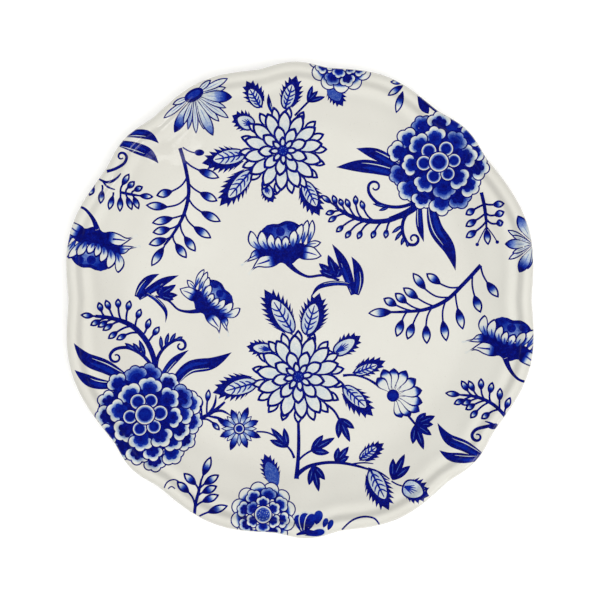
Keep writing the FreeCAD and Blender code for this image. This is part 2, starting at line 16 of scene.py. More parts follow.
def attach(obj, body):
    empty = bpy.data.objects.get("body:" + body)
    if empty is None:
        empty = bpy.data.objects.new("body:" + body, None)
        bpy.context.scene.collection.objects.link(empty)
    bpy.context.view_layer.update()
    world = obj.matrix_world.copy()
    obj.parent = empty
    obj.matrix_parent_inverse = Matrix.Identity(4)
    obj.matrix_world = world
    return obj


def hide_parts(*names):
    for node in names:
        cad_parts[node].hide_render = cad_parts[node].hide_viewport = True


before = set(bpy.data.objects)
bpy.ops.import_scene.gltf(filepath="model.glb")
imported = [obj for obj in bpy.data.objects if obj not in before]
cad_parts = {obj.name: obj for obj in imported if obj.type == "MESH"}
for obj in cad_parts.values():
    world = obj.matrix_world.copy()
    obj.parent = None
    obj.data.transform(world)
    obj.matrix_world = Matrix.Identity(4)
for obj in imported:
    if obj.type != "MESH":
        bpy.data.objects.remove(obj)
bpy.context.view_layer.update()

METRES = 0.001
TINY = 1e-12                # keeps a division away from zero

# ---------------------------------------------------------------- sizes, as in the CAD
LIP_RADIUS = 130.4
SIDE_NOTCH = 1.4
BROAD_RISE = 3.05
TONGUE_RISE = 2.35
LOBE_ROUNDNESS = 1.54
RIM_HEIGHT = 23.5
LIP_DROP = 2.6
LIP_THICKNESS = 3.6
CREST_INSET = 4.8
GROOVE_INSET = 9.2
SHOULDER_INSET = 12.6
GROOVE_DROP = 3.5
SHOULDER_DROP = 4.1
FLOOR_RADIUS = 84.0
PLAIN_WALL = 0.36
WALL = 4.4
FOOT_RADIUS = 78.0
FOOT_WIDTH = 4.6
FOOT_HEIGHT = 3.0
FOOT_ROUNDING = 0.9
GLAZE = 0.3
BARE_FOOT = 1.3
DIP_ANGLES = (0, 37, 54, 83, 100, 129, 146, 180, 217, 233, 264, 280, 309, 326, 360)
WIDEST_TONGUE = 24

FLOOR_Z = FOOT_HEIGHT + WALL
LIP_Z = RIM_HEIGHT - LIP_DROP
SHOULDER_RADIUS = LIP_RADIUS - SHOULDER_INSET
SHOULDER_Z = RIM_HEIGHT - SHOULDER_DROP

ROUND_STEPS = 720           # mesh columns once round the plate
EDGE_ANGLE = math.radians(35)
POLE_HOLE = 0.5             # radius of the first mesh ring round the axis


# ---------------------------------------------------------------- the lobed outline
def lobe_offset(angle):
    """How far the outline stands out beyond LIP_RADIUS at an angle in degrees."""
    for start, end in zip(DIP_ANGLES, DIP_ANGLES[1:]):
        if start <= angle < end:
            along = (angle - start) / (end - start)
            nearer_dip = start if along < 0.5 else end
            floor = -SIDE_NOTCH if nearer_dip % 180 == 0 else 0.0
            top = BROAD_RISE if end - start > WIDEST_TONGUE else TONGUE_RISE
            arch = math.sin(math.pi * along) ** LOBE_ROUNDNESS
            return floor + (top - floor) * arch
    raise ValueError(angle)


TABLE_ANGLES = np.arange(0, 360, 0.25)
TABLE_OFFSETS = np.array([lobe_offset(angle) for angle in TABLE_ANGLES])


def lobe_offsets(angles):
    return np.interp(np.degrees(angles) % 360, TABLE_ANGLES, TABLE_OFFSETS, period=360)


def lobe_share(radius):
    """How much of the lobed outline the surface follows at a radius."""
    along_wall = (radius - FLOOR_RADIUS) / (SHOULDER_RADIUS - FLOOR_RADIUS)
    along = np.clip((along_wall - PLAIN_WALL) / (1 - PLAIN_WALL), 0.0, 1.0)
    return along * along * (3 - 2 * along)


# ---------------------------------------------------------------- profiles
def spline(t, start, end, start_slope, end_slope):
    """Places on a cubic from start to end, at the shares t of its length."""
    return ((2 * t**3 - 3 * t**2 + 1) * start + (t**3 - 2 * t**2 + t) * start_slope
            + (3 * t**2 - 2 * t**3) * end + (t**3 - t**2) * end_slope)


def profile_point(radius, height):
    """A place on a profile row: radius, how much it follows the lobes there, and height."""
    return (radius, float(lobe_share(radius)), height)


def wall_point(along, up):
    return profile_point(FLOOR_RADIUS + along * (SHOULDER_RADIUS - FLOOR_RADIUS),
                         FLOOR_Z + up * (SHOULDER_Z - FLOOR_Z))


WALL_FOOT = wall_point(0.33, 0.125)
WALL_MIDDLE = wall_point(0.62, 0.47)
WALL_TOP = wall_point(0.85, 0.80)
GROOVE = profile_point(LIP_RADIUS - GROOVE_INSET, RIM_HEIGHT - GROOVE_DROP)
LIP = profile_point(LIP_RADIUS, LIP_Z)


def smooth(points, first, last, step):
    """Rows along a cubic spline through the points, with given unit end directions."""
    points = np.array(points)
    gaps = np.linalg.norm(np.diff(points, axis=0), axis=1)
    count = len(points)
    matrix = np.eye(count)
    right = np.zeros_like(points)
    right[0] = first
    right[-1] = last
    for i in range(1, count - 1):
        before, after = gaps[i - 1], gaps[i]
        matrix[i, i - 1:i + 2] = after, 2 * (before + after), before
        right[i] = 3 * (after / before * (points[i] - points[i - 1])
                        + before / after * (points[i + 1] - points[i]))
    slopes = np.linalg.solve(matrix, right)
    rows = []
    for i in range(count - 1):
        steps = max(2, int(math.ceil(gaps[i] / step)))
        for t in np.arange(steps) / steps:
            rows.append(spline(t, points[i], points[i + 1], gaps[i] * slopes[i],
                               gaps[i] * slopes[i + 1]))
    rows.append(points[-1])
    return np.array(rows)


def face_rows(step=0.5):
    crest = profile_point(LIP_RADIUS - CREST_INSET, RIM_HEIGHT)
    roll = profile_point(LIP_RADIUS - 0.3 * LIP_DROP, LIP_Z + 0.55 * LIP_DROP)
    points = [wall_point(0, 0), WALL_FOOT, WALL_MIDDLE, WALL_TOP, wall_point(1, 1),
              GROOVE, crest, roll, LIP]
    return smooth(points, (1, 0, 0), (0, 0, -1), step)


def underneath(point):
    return (point[0], point[1], point[2] - WALL)


def underside_rows(step=0.8):
    tuck = profile_point(LIP_RADIUS - 0.25 * LIP_THICKNESS, LIP_Z - 0.45 * LIP_THICKNESS)
    hollow = profile_point(LIP_RADIUS - CREST_INSET, LIP_Z - LIP_THICKNESS)
    foot_top = profile_point(FOOT_RADIUS + GLAZE + FOOT_ROUNDING, FOOT_HEIGHT)
    under_middle = underneath(WALL_MIDDLE)
    under_bend = profile_point((foot_top[0] + under_middle[0]) / 2,
                               FOOT_HEIGHT + 0.23 * (under_middle[2] - FOOT_HEIGHT))
    points = [LIP, tuck, hollow, underneath(GROOVE), underneath(WALL_TOP), under_middle,
              under_bend, foot_top]
    return smooth(points, (0, 0, -1), (-1, 0, 0), step)


def moved_off(rows, distance):
    """Profile rows moved sideways, outwards from the clay or into it if negative."""
    along = np.gradient(rows, axis=0)
    length = np.hypot(along[:, 0], along[:, 2])
    moved = rows.copy()
    moved[:, 0] -= along[:, 2] / length * distance
    moved[:, 2] += along[:, 0] / length * distance
    return moved


def rounded(start, corner, end, steps=8):
    start, corner, end = (np.array(profile_point(*place)) for place in (start, corner, end))
    t = np.linspace(0, 1, steps + 1)[:, None]
    return (1 - t) ** 2 * start + 2 * t * (1 - t) * corner + t ** 2 * end


def foot_side(bare_radius, away_from_clay, glaze):
    """One side of the foot ring from the floor's underside down to where glaze ends."""
    wall = bare_radius + away_from_clay * glaze
    ceiling = FOOT_HEIGHT + GLAZE - glaze
    turn_end = bare_radius + away_from_clay * (GLAZE + FOOT_ROUNDING)
    corner = rounded((turn_end, ceiling), (wall, ceiling), (wall, FOOT_HEIGHT - FOOT_ROUNDING))
    return np.vstack([corner, [profile_point(wall, BARE_FOOT)]])


def bare_foot_rows():
    outer = FOOT_RADIUS
    inner = FOOT_RADIUS - FOOT_WIDTH
    return np.vstack([
        rounded((outer, FOOT_ROUNDING), (outer, 0), (outer - FOOT_ROUNDING, 0)),
        rounded((inner + FOOT_ROUNDING, 0), (inner, 0), (inner, FOOT_ROUNDING))])


def flat_rows(from_radius, to_radius, height, step):
    """Rows across a flat stretch that carries no lobes."""
    steps = max(1, round(abs(to_radius - from_radius) / step))
    return np.array([(radius, 0.0, height)
                     for radius in np.linspace(from_radius, to_radius, steps + 1)])


def outer_rows(glazed):
    face = face_rows()
    underside = underside_rows()
    if not glazed:
        face = moved_off(face, -GLAZE)
        underside = moved_off(underside, -GLAZE)
    side = foot_side(FOOT_RADIUS, 1, GLAZE if glazed else 0.0)
    floor_z = FLOOR_Z if glazed else FLOOR_Z - GLAZE
    floor = flat_rows(POLE_HOLE, FLOOR_RADIUS, floor_z, 2.0)
    return np.vstack([floor[:-1], face[:-1], underside[:-1], side])


def recess_rows(glazed):
    side = foot_side(FOOT_RADIUS - FOOT_WIDTH, -1, GLAZE if glazed else 0.0)
    ceiling = FOOT_HEIGHT if glazed else FOOT_HEIGHT + GLAZE
    floor = flat_rows(POLE_HOLE, side[0, 0], ceiling, 4.0)
    return np.vstack([floor[:-1], side])


# ---------------------------------------------------------------- meshes from profiles
def turned_mesh(name, rows):
    """A closed mesh from profile rows that start and end beside the axis."""
    angles = np.arange(ROUND_STEPS) * (math.tau / ROUND_STEPS)
    offsets = lobe_offsets(angles)
    reach = rows[:, 0][:, None] + rows[:, 1][:, None] * offsets[None, :]
    ring = np.stack([reach * np.cos(angles), reach * np.sin(angles),
                     np.repeat(rows[:, 2][:, None], ROUND_STEPS, axis=1)], axis=-1)
    count = len(rows)
    poles = np.array([[0, 0, rows[0, 2]], [0, 0, rows[-1, 2]]])
    places = np.vstack([ring.reshape(-1, 3), poles]) * METRES
    index = np.arange(count * ROUND_STEPS).reshape(count, ROUND_STEPS)
    beside = np.roll(index, -1, axis=1)
    quads = np.stack([index[:-1], index[1:], beside[1:], beside[:-1]], axis=-1).reshape(-1, 4)
    first_pole = count * ROUND_STEPS
    faces = quads.tolist()
    faces += [(first_pole, a, b) for a, b in zip(index[0].tolist(), beside[0].tolist())]
    faces += [(first_pole + 1, b, a) for a, b in zip(index[-1].tolist(), beside[-1].tolist())]
    return mesh_object(name, places, faces)


def mesh_object(name, places, faces):
    mesh = bpy.data.meshes.new(name)
    mesh.from_pydata(places.tolist(), [], faces)
    mesh.validate()
    mesh.shade_smooth()
    mesh.set_sharp_from_angle(angle=EDGE_ANGLE)
    piece = bpy.data.objects.new(name, mesh)
    bpy.context.scene.collection.objects.link(piece)
    return piece


# ---------------------------------------------------------------- materials
def srgb(red, green, blue):
    """A linear colour with alpha from the usual 0 to 255 numbers."""
    linear = []
    for part in (red, green, blue):
        part /= 255
        linear.append(part / 12.92 if part <= 0.04045 else ((part + 0.055) / 1.055) ** 2.4)
    return (*linear, 1.0)


class Nodes:
    """Short calls for building a material's node tree."""

    def __init__(self, name):
        self.material = bpy.data.materials.new(name)
        self.material.use_nodes = True
        self.tree = self.material.node_tree
        self.shader = self.tree.nodes["Principled BSDF"]
        self.coordinates = self.tree.nodes.new("ShaderNodeTexCoord").outputs["Object"]

    def add(self, kind, inputs=(), **settings):
        node = self.tree.nodes.new(kind)
        for key, value in settings.items():
            setattr(node, key, value)
        for key, value in dict(inputs).items():
            self.feed(node.inputs[key], value)
        return node

    def feed(self, socket, value):
        """Links another node's output into a socket, or sets it to a plain value."""
        if isinstance(value, bpy.types.NodeSocket):
            self.tree.links.new(value, socket)
        else:
            socket.default_value = value

    def noise(self, per_metre, detail=2.0, roughness=0.5):
        node = self.add("ShaderNodeTexNoise", {"Vector": self.coordinates, "Scale": per_metre,
                                               "Detail": detail, "Roughness": roughness})
        return node.outputs["Fac"]

    def remap(self, value, from_low, from_high, to_low, to_high):
        node = self.add("ShaderNodeMapRange", {"Value": value, "From Min": from_low,
                                               "From Max": from_high, "To Min": to_low,
                                               "To Max": to_high})
        return node.outputs["Result"]

    def ramp(self, value, stops):
        node = self.add("ShaderNodeValToRGB", {"Fac": value})
        elements = node.color_ramp.elements
        while len(elements) < len(stops):
            elements.new(1.0)
        for element, (place, colour) in zip(elements, stops):
            element.position = place
            element.color = colour
        return node.outputs["Color"]

    def bump(self, height, strength, distance, under=None):
        inputs = {"Height": height, "Strength": strength, "Distance": distance}
        if under is not None:
            inputs["Normal"] = under
        return self.add("ShaderNodeBump", inputs).outputs["Normal"]

    def mix(self, share, first, second):
        """A blend of two colours, which are a mix node's inputs 6 and 7 and its output 2."""
        node = self.add("ShaderNodeMix", {0: share, 6: first, 7: second}, data_type="RGBA")
        return node.outputs[2]

    def total(self, first, second):
        return self.add("ShaderNodeMath", {0: first, 1: second}, operation="ADD").outputs[0]

    def set(self, **values):
        for key, value in values.items():
            self.feed(self.shader.inputs[key.replace("_", " ")], value)


def glaze_surface(nodes):
    """The wet-looking glaze that the body and the print share: its gloss and its relief."""
    ripple = nodes.noise(260, detail=1.0)
    smear = nodes.noise(70, detail=4.0, roughness=0.6)
    relief = nodes.bump(ripple, 0.06, 0.0006)
    nodes.set(Roughness=nodes.remap(smear, 0.35, 0.7, 0.07, 0.13), Normal=relief,
              Specular_IOR_Level=0.5, IOR=1.5, Coat_Weight=0.35, Coat_Roughness=0.03)


def glazed_porcelain():
    nodes = Nodes("glazed_porcelain")
    cloud = nodes.noise(14, detail=3.0, roughness=0.55)
    tint = nodes.ramp(nodes.remap(cloud, 0.3, 0.7, 0.0, 1.0),
                      [(0.0, srgb(206, 204, 196)), (1.0, srgb(212, 211, 203))])
    specks = nodes.noise(1900, detail=0.0)
    speck = nodes.remap(specks, 0.80, 0.84, 0.0, 0.35)
    nodes.set(Base_Color=nodes.mix(speck, tint, srgb(150, 140, 125)))
    glaze_surface(nodes)
    return nodes.material


def bare_porcelain():
    nodes = Nodes("bare_porcelain")
    cloud = nodes.noise(60, detail=4.0)
    grain = nodes.noise(2600, detail=2.0)
    tint = nodes.ramp(nodes.remap(cloud, 0.3, 0.7, 0.0, 1.0),
                      [(0.0, srgb(214, 207, 193)), (1.0, srgb(228, 223, 212))])
    nodes.set(Base_Color=tint, Roughness=nodes.remap(grain, 0.3, 0.7, 0.55, 0.8),
              Normal=nodes.bump(grain, 0.35, 0.0002))
    return nodes.material


def cobalt_ink():
    """The cobalt of the print: its strength is painted on the mesh as the ink attribute."""
    nodes = Nodes("cobalt_ink")
    painted = nodes.add("ShaderNodeAttribute", attribute_name="ink").outputs["Fac"]
    pooled = nodes.noise(420, detail=3.0, roughness=0.6)
    streaks = nodes.noise(1500, detail=2.0)
    wobble = nodes.remap(nodes.total(pooled, streaks), 0.62, 1.38, -0.15, 0.08)
    tint = nodes.ramp(nodes.total(painted, wobble), [
        (0.0, srgb(208, 209, 203)), (0.12, srgb(190, 198, 200)), (0.25, srgb(168, 181, 195)),
        (0.42, srgb(100, 123, 180)), (0.6, srgb(38, 66, 152)), (0.78, srgb(3, 34, 140)),
        (0.92, srgb(0, 14, 120)), (1.0, srgb(0, 2, 88))])
    nodes.set(Base_Color=tint)
    glaze_surface(nodes)
    return nodes.material


def floor_paper():
    nodes = Nodes("floor_paper")
    cloud = nodes.noise(3, detail=2.0)
    tint = nodes.ramp(cloud, [(0.0, srgb(251, 251, 251)), (1.0, srgb(253, 253, 253))])
    nodes.set(Base_Color=tint, Roughness=0.9, Specular_IOR_Level=0.1,
              Emission_Color=(1.0, 1.0, 1.0, 1.0), Emission_Strength=0.1)
    return nodes.material


# ---------------------------------------------------------------- the ware
def add_piece(piece, material, nodes):
    piece.data.materials.append(material)
    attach(piece, "root")
    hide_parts(*nodes)
    return piece


def build_ware():
    glaze = glazed_porcelain()
    clay = bare_porcelain()
    bare = np.vstack([outer_rows(False), bare_foot_rows(), recess_rows(False)[::-1]])
    face = np.vstack([outer_rows(True), outer_rows(False)[::-1]])
    recess = np.vstack([recess_rows(False), recess_rows(True)[::-1]])
    add_piece(turned_mesh("fired_body", bare), clay, ["porcelain_body"])
    add_piece(turned_mesh("glaze_coat", face), glaze, ["face_glaze"])
    add_piece(turned_mesh("recess_glaze_coat", recess), glaze,
              ["foot_recess_glaze"])


# ---------------------------------------------------------------- the face as a height
FACE = face_rows(0.2)
SETTLING_ROUNDS = 8         # repeats until a place's radius without its lobe is found


def face_height(places):
    """Height of the glazed face above places on it."""
    reach = np.abs(places)
    offsets = lobe_offsets(np.angle(places))
    radius = reach
    for _ in range(SETTLING_ROUNDS):
        radius = reach - lobe_share(radius) * offsets
    height = np.interp(radius, FACE[:, 0], FACE[:, 2])
    return np.where(reach < FLOOR_RADIUS, FLOOR_Z, height)


def face_edge(margin):
    """The outline of the face, a little inside the lip."""
    angles = np.linspace(0, math.tau, 361)[:-1]
    return (LIP_RADIUS - margin + lobe_offsets(angles)) * np.exp(1j * angles)


# ---------------------------------------------------------------- drawing in the flat
def curve(points, step=0.8, closed=False):
    """A smooth line through the points, as closely spaced places."""
    points = np.asarray(points, dtype=complex)
    if closed:
        points = np.concatenate([points[-2:], points, points[:3]])
    gaps = np.abs(np.diff(points)) + 1e-9
    ways = np.diff(points) / gaps
    slopes = np.empty_like(points)
    slopes[1:-1] = (ways[:-1] * gaps[1:] + ways[1:] * gaps[:-1]) / (gaps[1:] + gaps[:-1])
    slopes[0] = 1.5 * ways[0] - 0.5 * slopes[1] if len(points) > 2 else ways[0]
    slopes[-1] = 1.5 * ways[-1] - 0.5 * slopes[-2] if len(points) > 2 else ways[-1]
    first, last = (2, len(points) - 3) if closed else (0, len(points) - 1)
    line = []
    for i in range(first, last):
        steps = max(2, int(gaps[i] / step) + 1)
        line.append(spline(np.arange(steps) / steps, points[i], points[i + 1],
                           gaps[i] * slopes[i], gaps[i] * slopes[i + 1]))
    line = np.concatenate(line)
    return line if closed else np.append(line, points[-1])


def band(line, width):
    """The outline of a stroke along a line; width is a number or one for each place."""
    way = np.gradient(line)
    side = 1j * way / (np.abs(way) + TINY) * np.asarray(width) / 2
    return np.concatenate([line + side, (line - side)[::-1]])


def swelling(count, start, middle, end):
    """Stroke widths that swell from start to middle and taper to end."""
    along = np.linspace(0, 1, count)
    return np.where(along < 0.5, start + (middle - start) * np.sin(math.pi * along),
                    end + (middle - end) * np.sin(math.pi * along))


def oval(base, tip, width, belly=0.5, point=1.0, bend=0.0, count=17):
    """A petal outline, widest at the share belly; point is 1 for a sharp tip, 0.5 for a round.

    bend says how far its middle is bowed to the left of the way from base to tip.
    """
    along = (1 - np.cos(np.linspace(0, math.pi, count))) / 2
    rise = point * belly / (1 - belly)
    half = along ** rise * (1 - along) ** point / (belly ** rise * (1 - belly) ** point)
    left = 1j * (tip - base) / abs(tip - base)
    middle = base + (tip - base) * along + left * bend * 4 * along * (1 - along)
    side = left * half * width / 2
    return np.concatenate([middle + side, (middle - side)[-2:0:-1]])


def inset(outline, distance):
    """The outline moved inwards; what would cross over in a sharp corner is dropped."""
    way = np.roll(outline, -1) - np.roll(outline, 1)
    area = (outline.conj() * np.roll(outline, -1)).imag.sum()
    moved = outline + 1j * way / (np.abs(way) + TINY) * distance * np.sign(area)
    apart = np.abs(moved[:, None] - outline[None, :]).min(axis=1)
    return moved[apart > 0.85 * distance]


def between(start, end, share):
    """The place at a share of the way from start to end."""
    return start + (end - start) * share


def fade(start, end, ink_start, ink_end, power=1.0):
    """Ink that runs from one strength at start to another at end."""
    def ink(spots):
        along = ((spots - start) / (end - start)).real
        return ink_start + (ink_end - ink_start) * np.clip(along, 0, 1) ** power
    return ink


def glow(centre, reach, ink_middle, ink_edge, power=1.0):
    """Ink that runs from the strength at a centre to another at a distance."""
    def ink(spots):
        along = np.clip(np.abs(spots - centre) / reach, 0, 1) ** power
        return ink_middle + (ink_edge - ink_middle) * along
    return ink


def inside(spots, outline):
    """Which spots lie inside a closed outline, by counting crossings."""
    result = np.zeros(len(spots), dtype=bool)
    near = ((spots.real >= outline.real.min()) & (spots.real <= outline.real.max())
            & (spots.imag >= outline.imag.min()) & (spots.imag <= outline.imag.max()))
    chosen = spots[near]
    if not len(chosen):
        return result
    after = np.roll(outline, -1)
    rise = after.imag - outline.imag
    rise = np.where(rise == 0, TINY, rise)
    spans = (outline.imag[None, :] > chosen.imag[:, None]) != (after.imag[None, :]
                                                               > chosen.imag[:, None])
    meets = outline.real + (chosen.imag[:, None] - outline.imag) / rise * (after.real
                                                                          - outline.real)
    result[near] = (spans & (chosen.real[:, None] < meets)).sum(axis=1) % 2 == 1
    return result


BARE = 0.0                  # no ink: the glaze shows
DARK = 1.0                  # full cobalt
LINE = 0.9                  # width of a drawn outline


class Drawing:
    """Shapes in the order they are painted; each later one covers the earlier ones."""

    def __init__(self, seed=0):
        self.shapes = []
        self.chance = random.Random(seed)

    def fill(self, outline, ink=DARK):
        self.shapes.append((outline, ink))

    def line(self, points, width=LINE, ink=DARK, step=0.8):
        path = curve(points, step)
        if isinstance(width, tuple):
            width = swelling(len(path), *width)
        self.fill(band(path, width), ink)

    def disc(self, centre, radius, ink=DARK, count=28):
        turns = np.arange(count) * (math.tau / count)
        self.fill(centre + radius * np.exp(1j * turns), ink)

    def petal(self, base, tip, width, ink, line=LINE, edge=DARK, **shape):
        """An outlined petal: the dark outline first, then its paler inside."""
        way = (tip - base) / abs(tip - base)
        self.fill(oval(base, tip, width, **shape), edge)
        if width > 2.6 * line:
            self.fill(oval(base + way * line, tip - way * line * 1.6, width - 2 * line, **shape),
                      ink)

    def leaflet(self, one_side, other_side, ink, line=LINE):
        """An outlined shape given by its two sides, which share their first and last places."""
        outline = np.concatenate([curve(one_side, 0.4), curve(other_side, 0.4)[-2:0:-1]])
        self.fill(outline)
        self.fill(inset(outline, line), ink)

    def stamp(self, motif, turn, shift, mirrored=False):
        """Another drawing put down again: scaled and turned by a complex factor, and moved."""
        for outline, ink in motif.shapes:
            if mirrored:
                outline = outline.conj()
            self.fill(turn * outline + shift, moved_ink(ink, turn, shift, mirrored))


def moved_ink(ink, turn, shift, mirrored):
    """The ink of a stamped shape, looked up where it was drawn."""
    if not callable(ink):
        return ink

    def moved(spots):
        drawn = (spots - shift) / turn
        return ink(drawn.conj() if mirrored else drawn)
    return moved


GRID_STEP = 1.1             # spacing of the mesh inside a patch, on the flat floor
RIM_GRID_STEP = 0.6         # and where the rim is curved
INK_RISE = 0.035            # the print's surface above the glaze
INK_EDGE_RISE = 0.02        # the same at the print's edge, where the ink thins out
FINE_GRID_RADIUS = SHOULDER_RADIUS - 8
ROW_SHARE = 0.87            # spacing of the staggered rows as a share of the step
LIP_MARGIN = 0.35           # bare strip between the print and the lip
NEAR_LIP = 6                # motifs that come this close to the lip are cut off by it
MERGE_DISTANCE = 1e-4
UV_MARGIN = 0.01


def grid_spots(outlines, step, low, high):
    """Staggered grid places inside any of the outlines, between two distances from the axis."""
    everything = np.concatenate(outlines)
    across = np.arange(everything.real.min(), everything.real.max() + step, step)
    upward = np.arange(everything.imag.min(), everything.imag.max() + step, step * ROW_SHARE)
    grid = across[None, :] + 1j * upward[:, None]
    grid[1::2] += step / 2
    grid = grid.ravel()
    grid = grid[(np.abs(grid) >= low) & (np.abs(grid) < high)]
    kept = np.zeros(len(grid), dtype=bool)
    for outline in outlines:
        kept |= inside(grid, outline)
    return grid[kept]


def triangulated(shapes):
    """Triangles that keep every outline as an edge, and the topmost shape of each."""
    outlines = [outline for outline, ink in shapes]
    spots = [grid_spots(outlines, GRID_STEP, 0, FINE_GRID_RADIUS),
             grid_spots(outlines, RIM_GRID_STEP, FINE_GRID_RADIUS, 2 * LIP_RADIUS)]
    edges = []
    count = 0
    limit = face_edge(LIP_MARGIN)
    loops = list(outlines)
    if max(np.abs(outline).max() for outline in outlines) > LIP_RADIUS - NEAR_LIP:
        loops.append(limit)
    for loop in loops:
        index = np.arange(count, count + len(loop))
        edges.append(np.stack([index, np.roll(index, -1)], axis=1))
        count += len(loop)
    points = np.concatenate(loops + spots)
    flat = [Vector((spot.real, spot.imag)) for spot in points]
    result = delaunay_2d_cdt(flat, np.concatenate(edges).tolist(), [], 0, MERGE_DISTANCE,
                              False)
    corners = np.array([complex(*spot) for spot in result[0]])
    triangles = np.array(result[2])
    middles = corners[triangles].mean(axis=1)
    top = np.full(len(triangles), -1)
    for order, outline in enumerate(outlines):
        top[inside(middles, outline)] = order
    top[~inside(middles, limit)] = -1
    for order, (outline, ink) in enumerate(shapes):
        if not callable(ink) and ink <= BARE:
            top[top == order] = -1
    return corners, triangles[top >= 0], top[top >= 0]


def lifted(spots, rise):
    """Mesh places at a height above the glazed face."""
    step = 0.05
    height = face_height(spots)
    slope = ((face_height(spots + step) - height) + 1j * (face_height(spots + 1j * step)
                                                          - height)) / step
    length = np.sqrt(1 + np.abs(slope) ** 2)
    moved = spots - slope * rise / length
    places = np.stack([moved.real, moved.imag, height + rise / length], axis=1)
    normals = np.stack([-slope.real / length, -slope.imag / length, 1 / length], axis=1)
    return places * METRES, normals


def print_piece(name, drawing, material):
    """A film of ink on the glaze, one surface only: it sits lower at its edge all round."""
    corners, triangles, top = triangulated(drawing.shapes)
    used, triangles = np.unique(triangles, return_inverse=True)
    triangles = triangles.reshape(-1, 3)
    spots = corners[used]
    sides = np.sort(np.concatenate([triangles[:, [0, 1]], triangles[:, [1, 2]],
                                    triangles[:, [2, 0]]]), axis=1)
    pairs, times = np.unique(sides, axis=0, return_counts=True)
    on_edge = np.zeros(len(spots), dtype=bool)
    on_edge[pairs[times == 1].ravel()] = True
    rise = np.where(on_edge, INK_EDGE_RISE, INK_RISE)
    upper, normals = lifted(spots, rise)
    mesh = bpy.data.meshes.new("ink_" + name)
    mesh.from_pydata(upper.tolist(), [], triangles.tolist())
    ink = np.empty((len(triangles), 3))
    for order in np.unique(top):
        chosen = top == order
        strength = drawing.shapes[order][1]
        ink[chosen] = strength(spots[triangles[chosen]]) if callable(strength) else strength
    layer = mesh.color_attributes.new("ink", "FLOAT_COLOR", "CORNER")
    shades = np.repeat(ink.ravel()[:, None], 4, axis=1)
    shades[:, 3] = 1
    layer.data.foreach_set("color", shades.ravel())
    box = np.array([spots.real.min(), spots.imag.min()])
    size = max(np.ptp(spots.real), np.ptp(spots.imag))
    flat = (np.stack([spots.real, spots.imag], axis=1) - box) / size
    flat = flat * (1 - 2 * UV_MARGIN) + UV_MARGIN
    uv = mesh.uv_layers.new(name="OFBake")
    uv.data.foreach_set("uv", flat[triangles.ravel()].ravel())
    mesh.shade_smooth()
    mesh.normals_split_custom_set_from_vertices(normals.tolist())
    piece = bpy.data.objects.new("ink_" + name, mesh)
    bpy.context.scene.collection.objects.link(piece)
    return add_piece(piece, material, ["print_" + name])


# ---------------------------------------------------------------- things that are drawn
PALE = 0.15                 # ink strengths, from the pale inside of a leaf or a petal
SOFT = 0.3
MIDDLE = 0.62


def ray(centre, degrees, reach):
    """The place at a distance from a centre, in a direction in degrees."""
    return centre + reach * cmath.exp(1j * math.radians(degrees))


def bud(art, base, tip, width=4.2, line=0.85):
    """A bud: dark where it joins the twig, pale towards its tip."""
    shade = fade(between(base, tip, 0.28), between(base, tip, 0.72), 1.15, 0.02)
    art.petal(base, tip, 0.88 * width, shade, line=line, belly=0.52, point=0.95)


def twig(art, joint, base, tip, width=0.9):
    """A twig from a joint on the stem that bends round into the bud it carries."""
    way = (tip - base) / abs(tip - base)
    straight = between(joint, base, 0.5)
    bent = base - way * abs(base - joint) / 2
    art.line([joint, between(straight, bent, 0.4), base + way], width)


def sprig(art, stem, shoots, width=4.2, stem_width=1.8, twig_width=1.0, line=0.95):
    """A stem and its buds, each given by its joint on the stem, its base and its tip."""
    art.line(stem, (stem_width, stem_width, 0.6 * stem_width))
    for joint, base, tip in shoots:
        twig(art, joint, base, tip, twig_width)
    for joint, base, tip in shoots:
        bud(art, base, tip, width, line)


def small_leaf(art, base, tip, width=3.4):
    """A small dark leaf with a lighter rib."""
    art.fill(oval(base, tip, width, belly=0.5, point=0.9))
    art.line([between(base, tip, 0.3), between(base, tip, 0.75)], (0.3, 0.45, 0.2), 0.62)


def spray(art, base, tips, width=3.6):
    """Small dark leaves that fan out from one place."""
    for tip in tips:
        small_leaf(art, base, tip, width)


TEETH_END = 0.86            # where the teeth end and the plain tip begins, along a leaf
TOOTH_HEIGHT = 0.34         # as a share of the leaf's half width
TOOTH_LEAN = 0.11           # as a share of its length
NOTCH_WIDTH = 0.8           # the half width between two teeth, as a share


def serrated(base, tip, width, teeth):
    """A leaf outline whose edge breaks into teeth that lean towards the tip."""
    along = np.linspace(0.0, TEETH_END, 2 * teeth + 1)
    tooth = np.arange(2 * teeth + 1) % 2
    fullness = NOTCH_WIDTH + TOOTH_HEIGHT * tooth
    half = np.sin(math.pi * along ** 0.82) ** 0.9 * fullness * width / 2
    middle = base + (tip - base) * (along + TOOTH_LEAN * tooth)
    side = 1j * (tip - base) / abs(tip - base) * half
    return np.concatenate([middle + side, [tip], (middle - side)[:0:-1]])


def leaf(art, base, tip, width, teeth=7, veins=4, bold=1.0):
    """A pale veined leaf in a dark toothed fringe that is bolder on one side."""
    way = tip - base
    side = 1j * way / abs(way)
    art.fill(serrated(base, tip, width, teeth))
    shift = side * width * 0.06 * bold
    foot = base + 0.04 * way + shift
    end = base + 0.8 * way + shift
    art.petal(foot, end, 0.7 * width, fade(foot, end, SOFT, 0.1), line=0.95, belly=0.45, point=0.62)
    rib_end = between(foot, end, 0.88)
    art.line([foot, rib_end], (1.4, 1.1, 0.5), 0.95)
    for number in range(veins):
        joint = between(foot, end, 0.16 + 0.62 * number / veins)
        reach = 0.24 * width * math.sin(math.pi * (0.25 + 0.6 * number / veins))
        for hand in (-1, 1):
            knee = joint + 0.05 * way + hand * side * 0.6 * reach
            art.line([joint, knee, knee + 0.07 * way + hand * side * 0.4 * reach],
                     (1.0, 0.9, 0.4), 0.85)


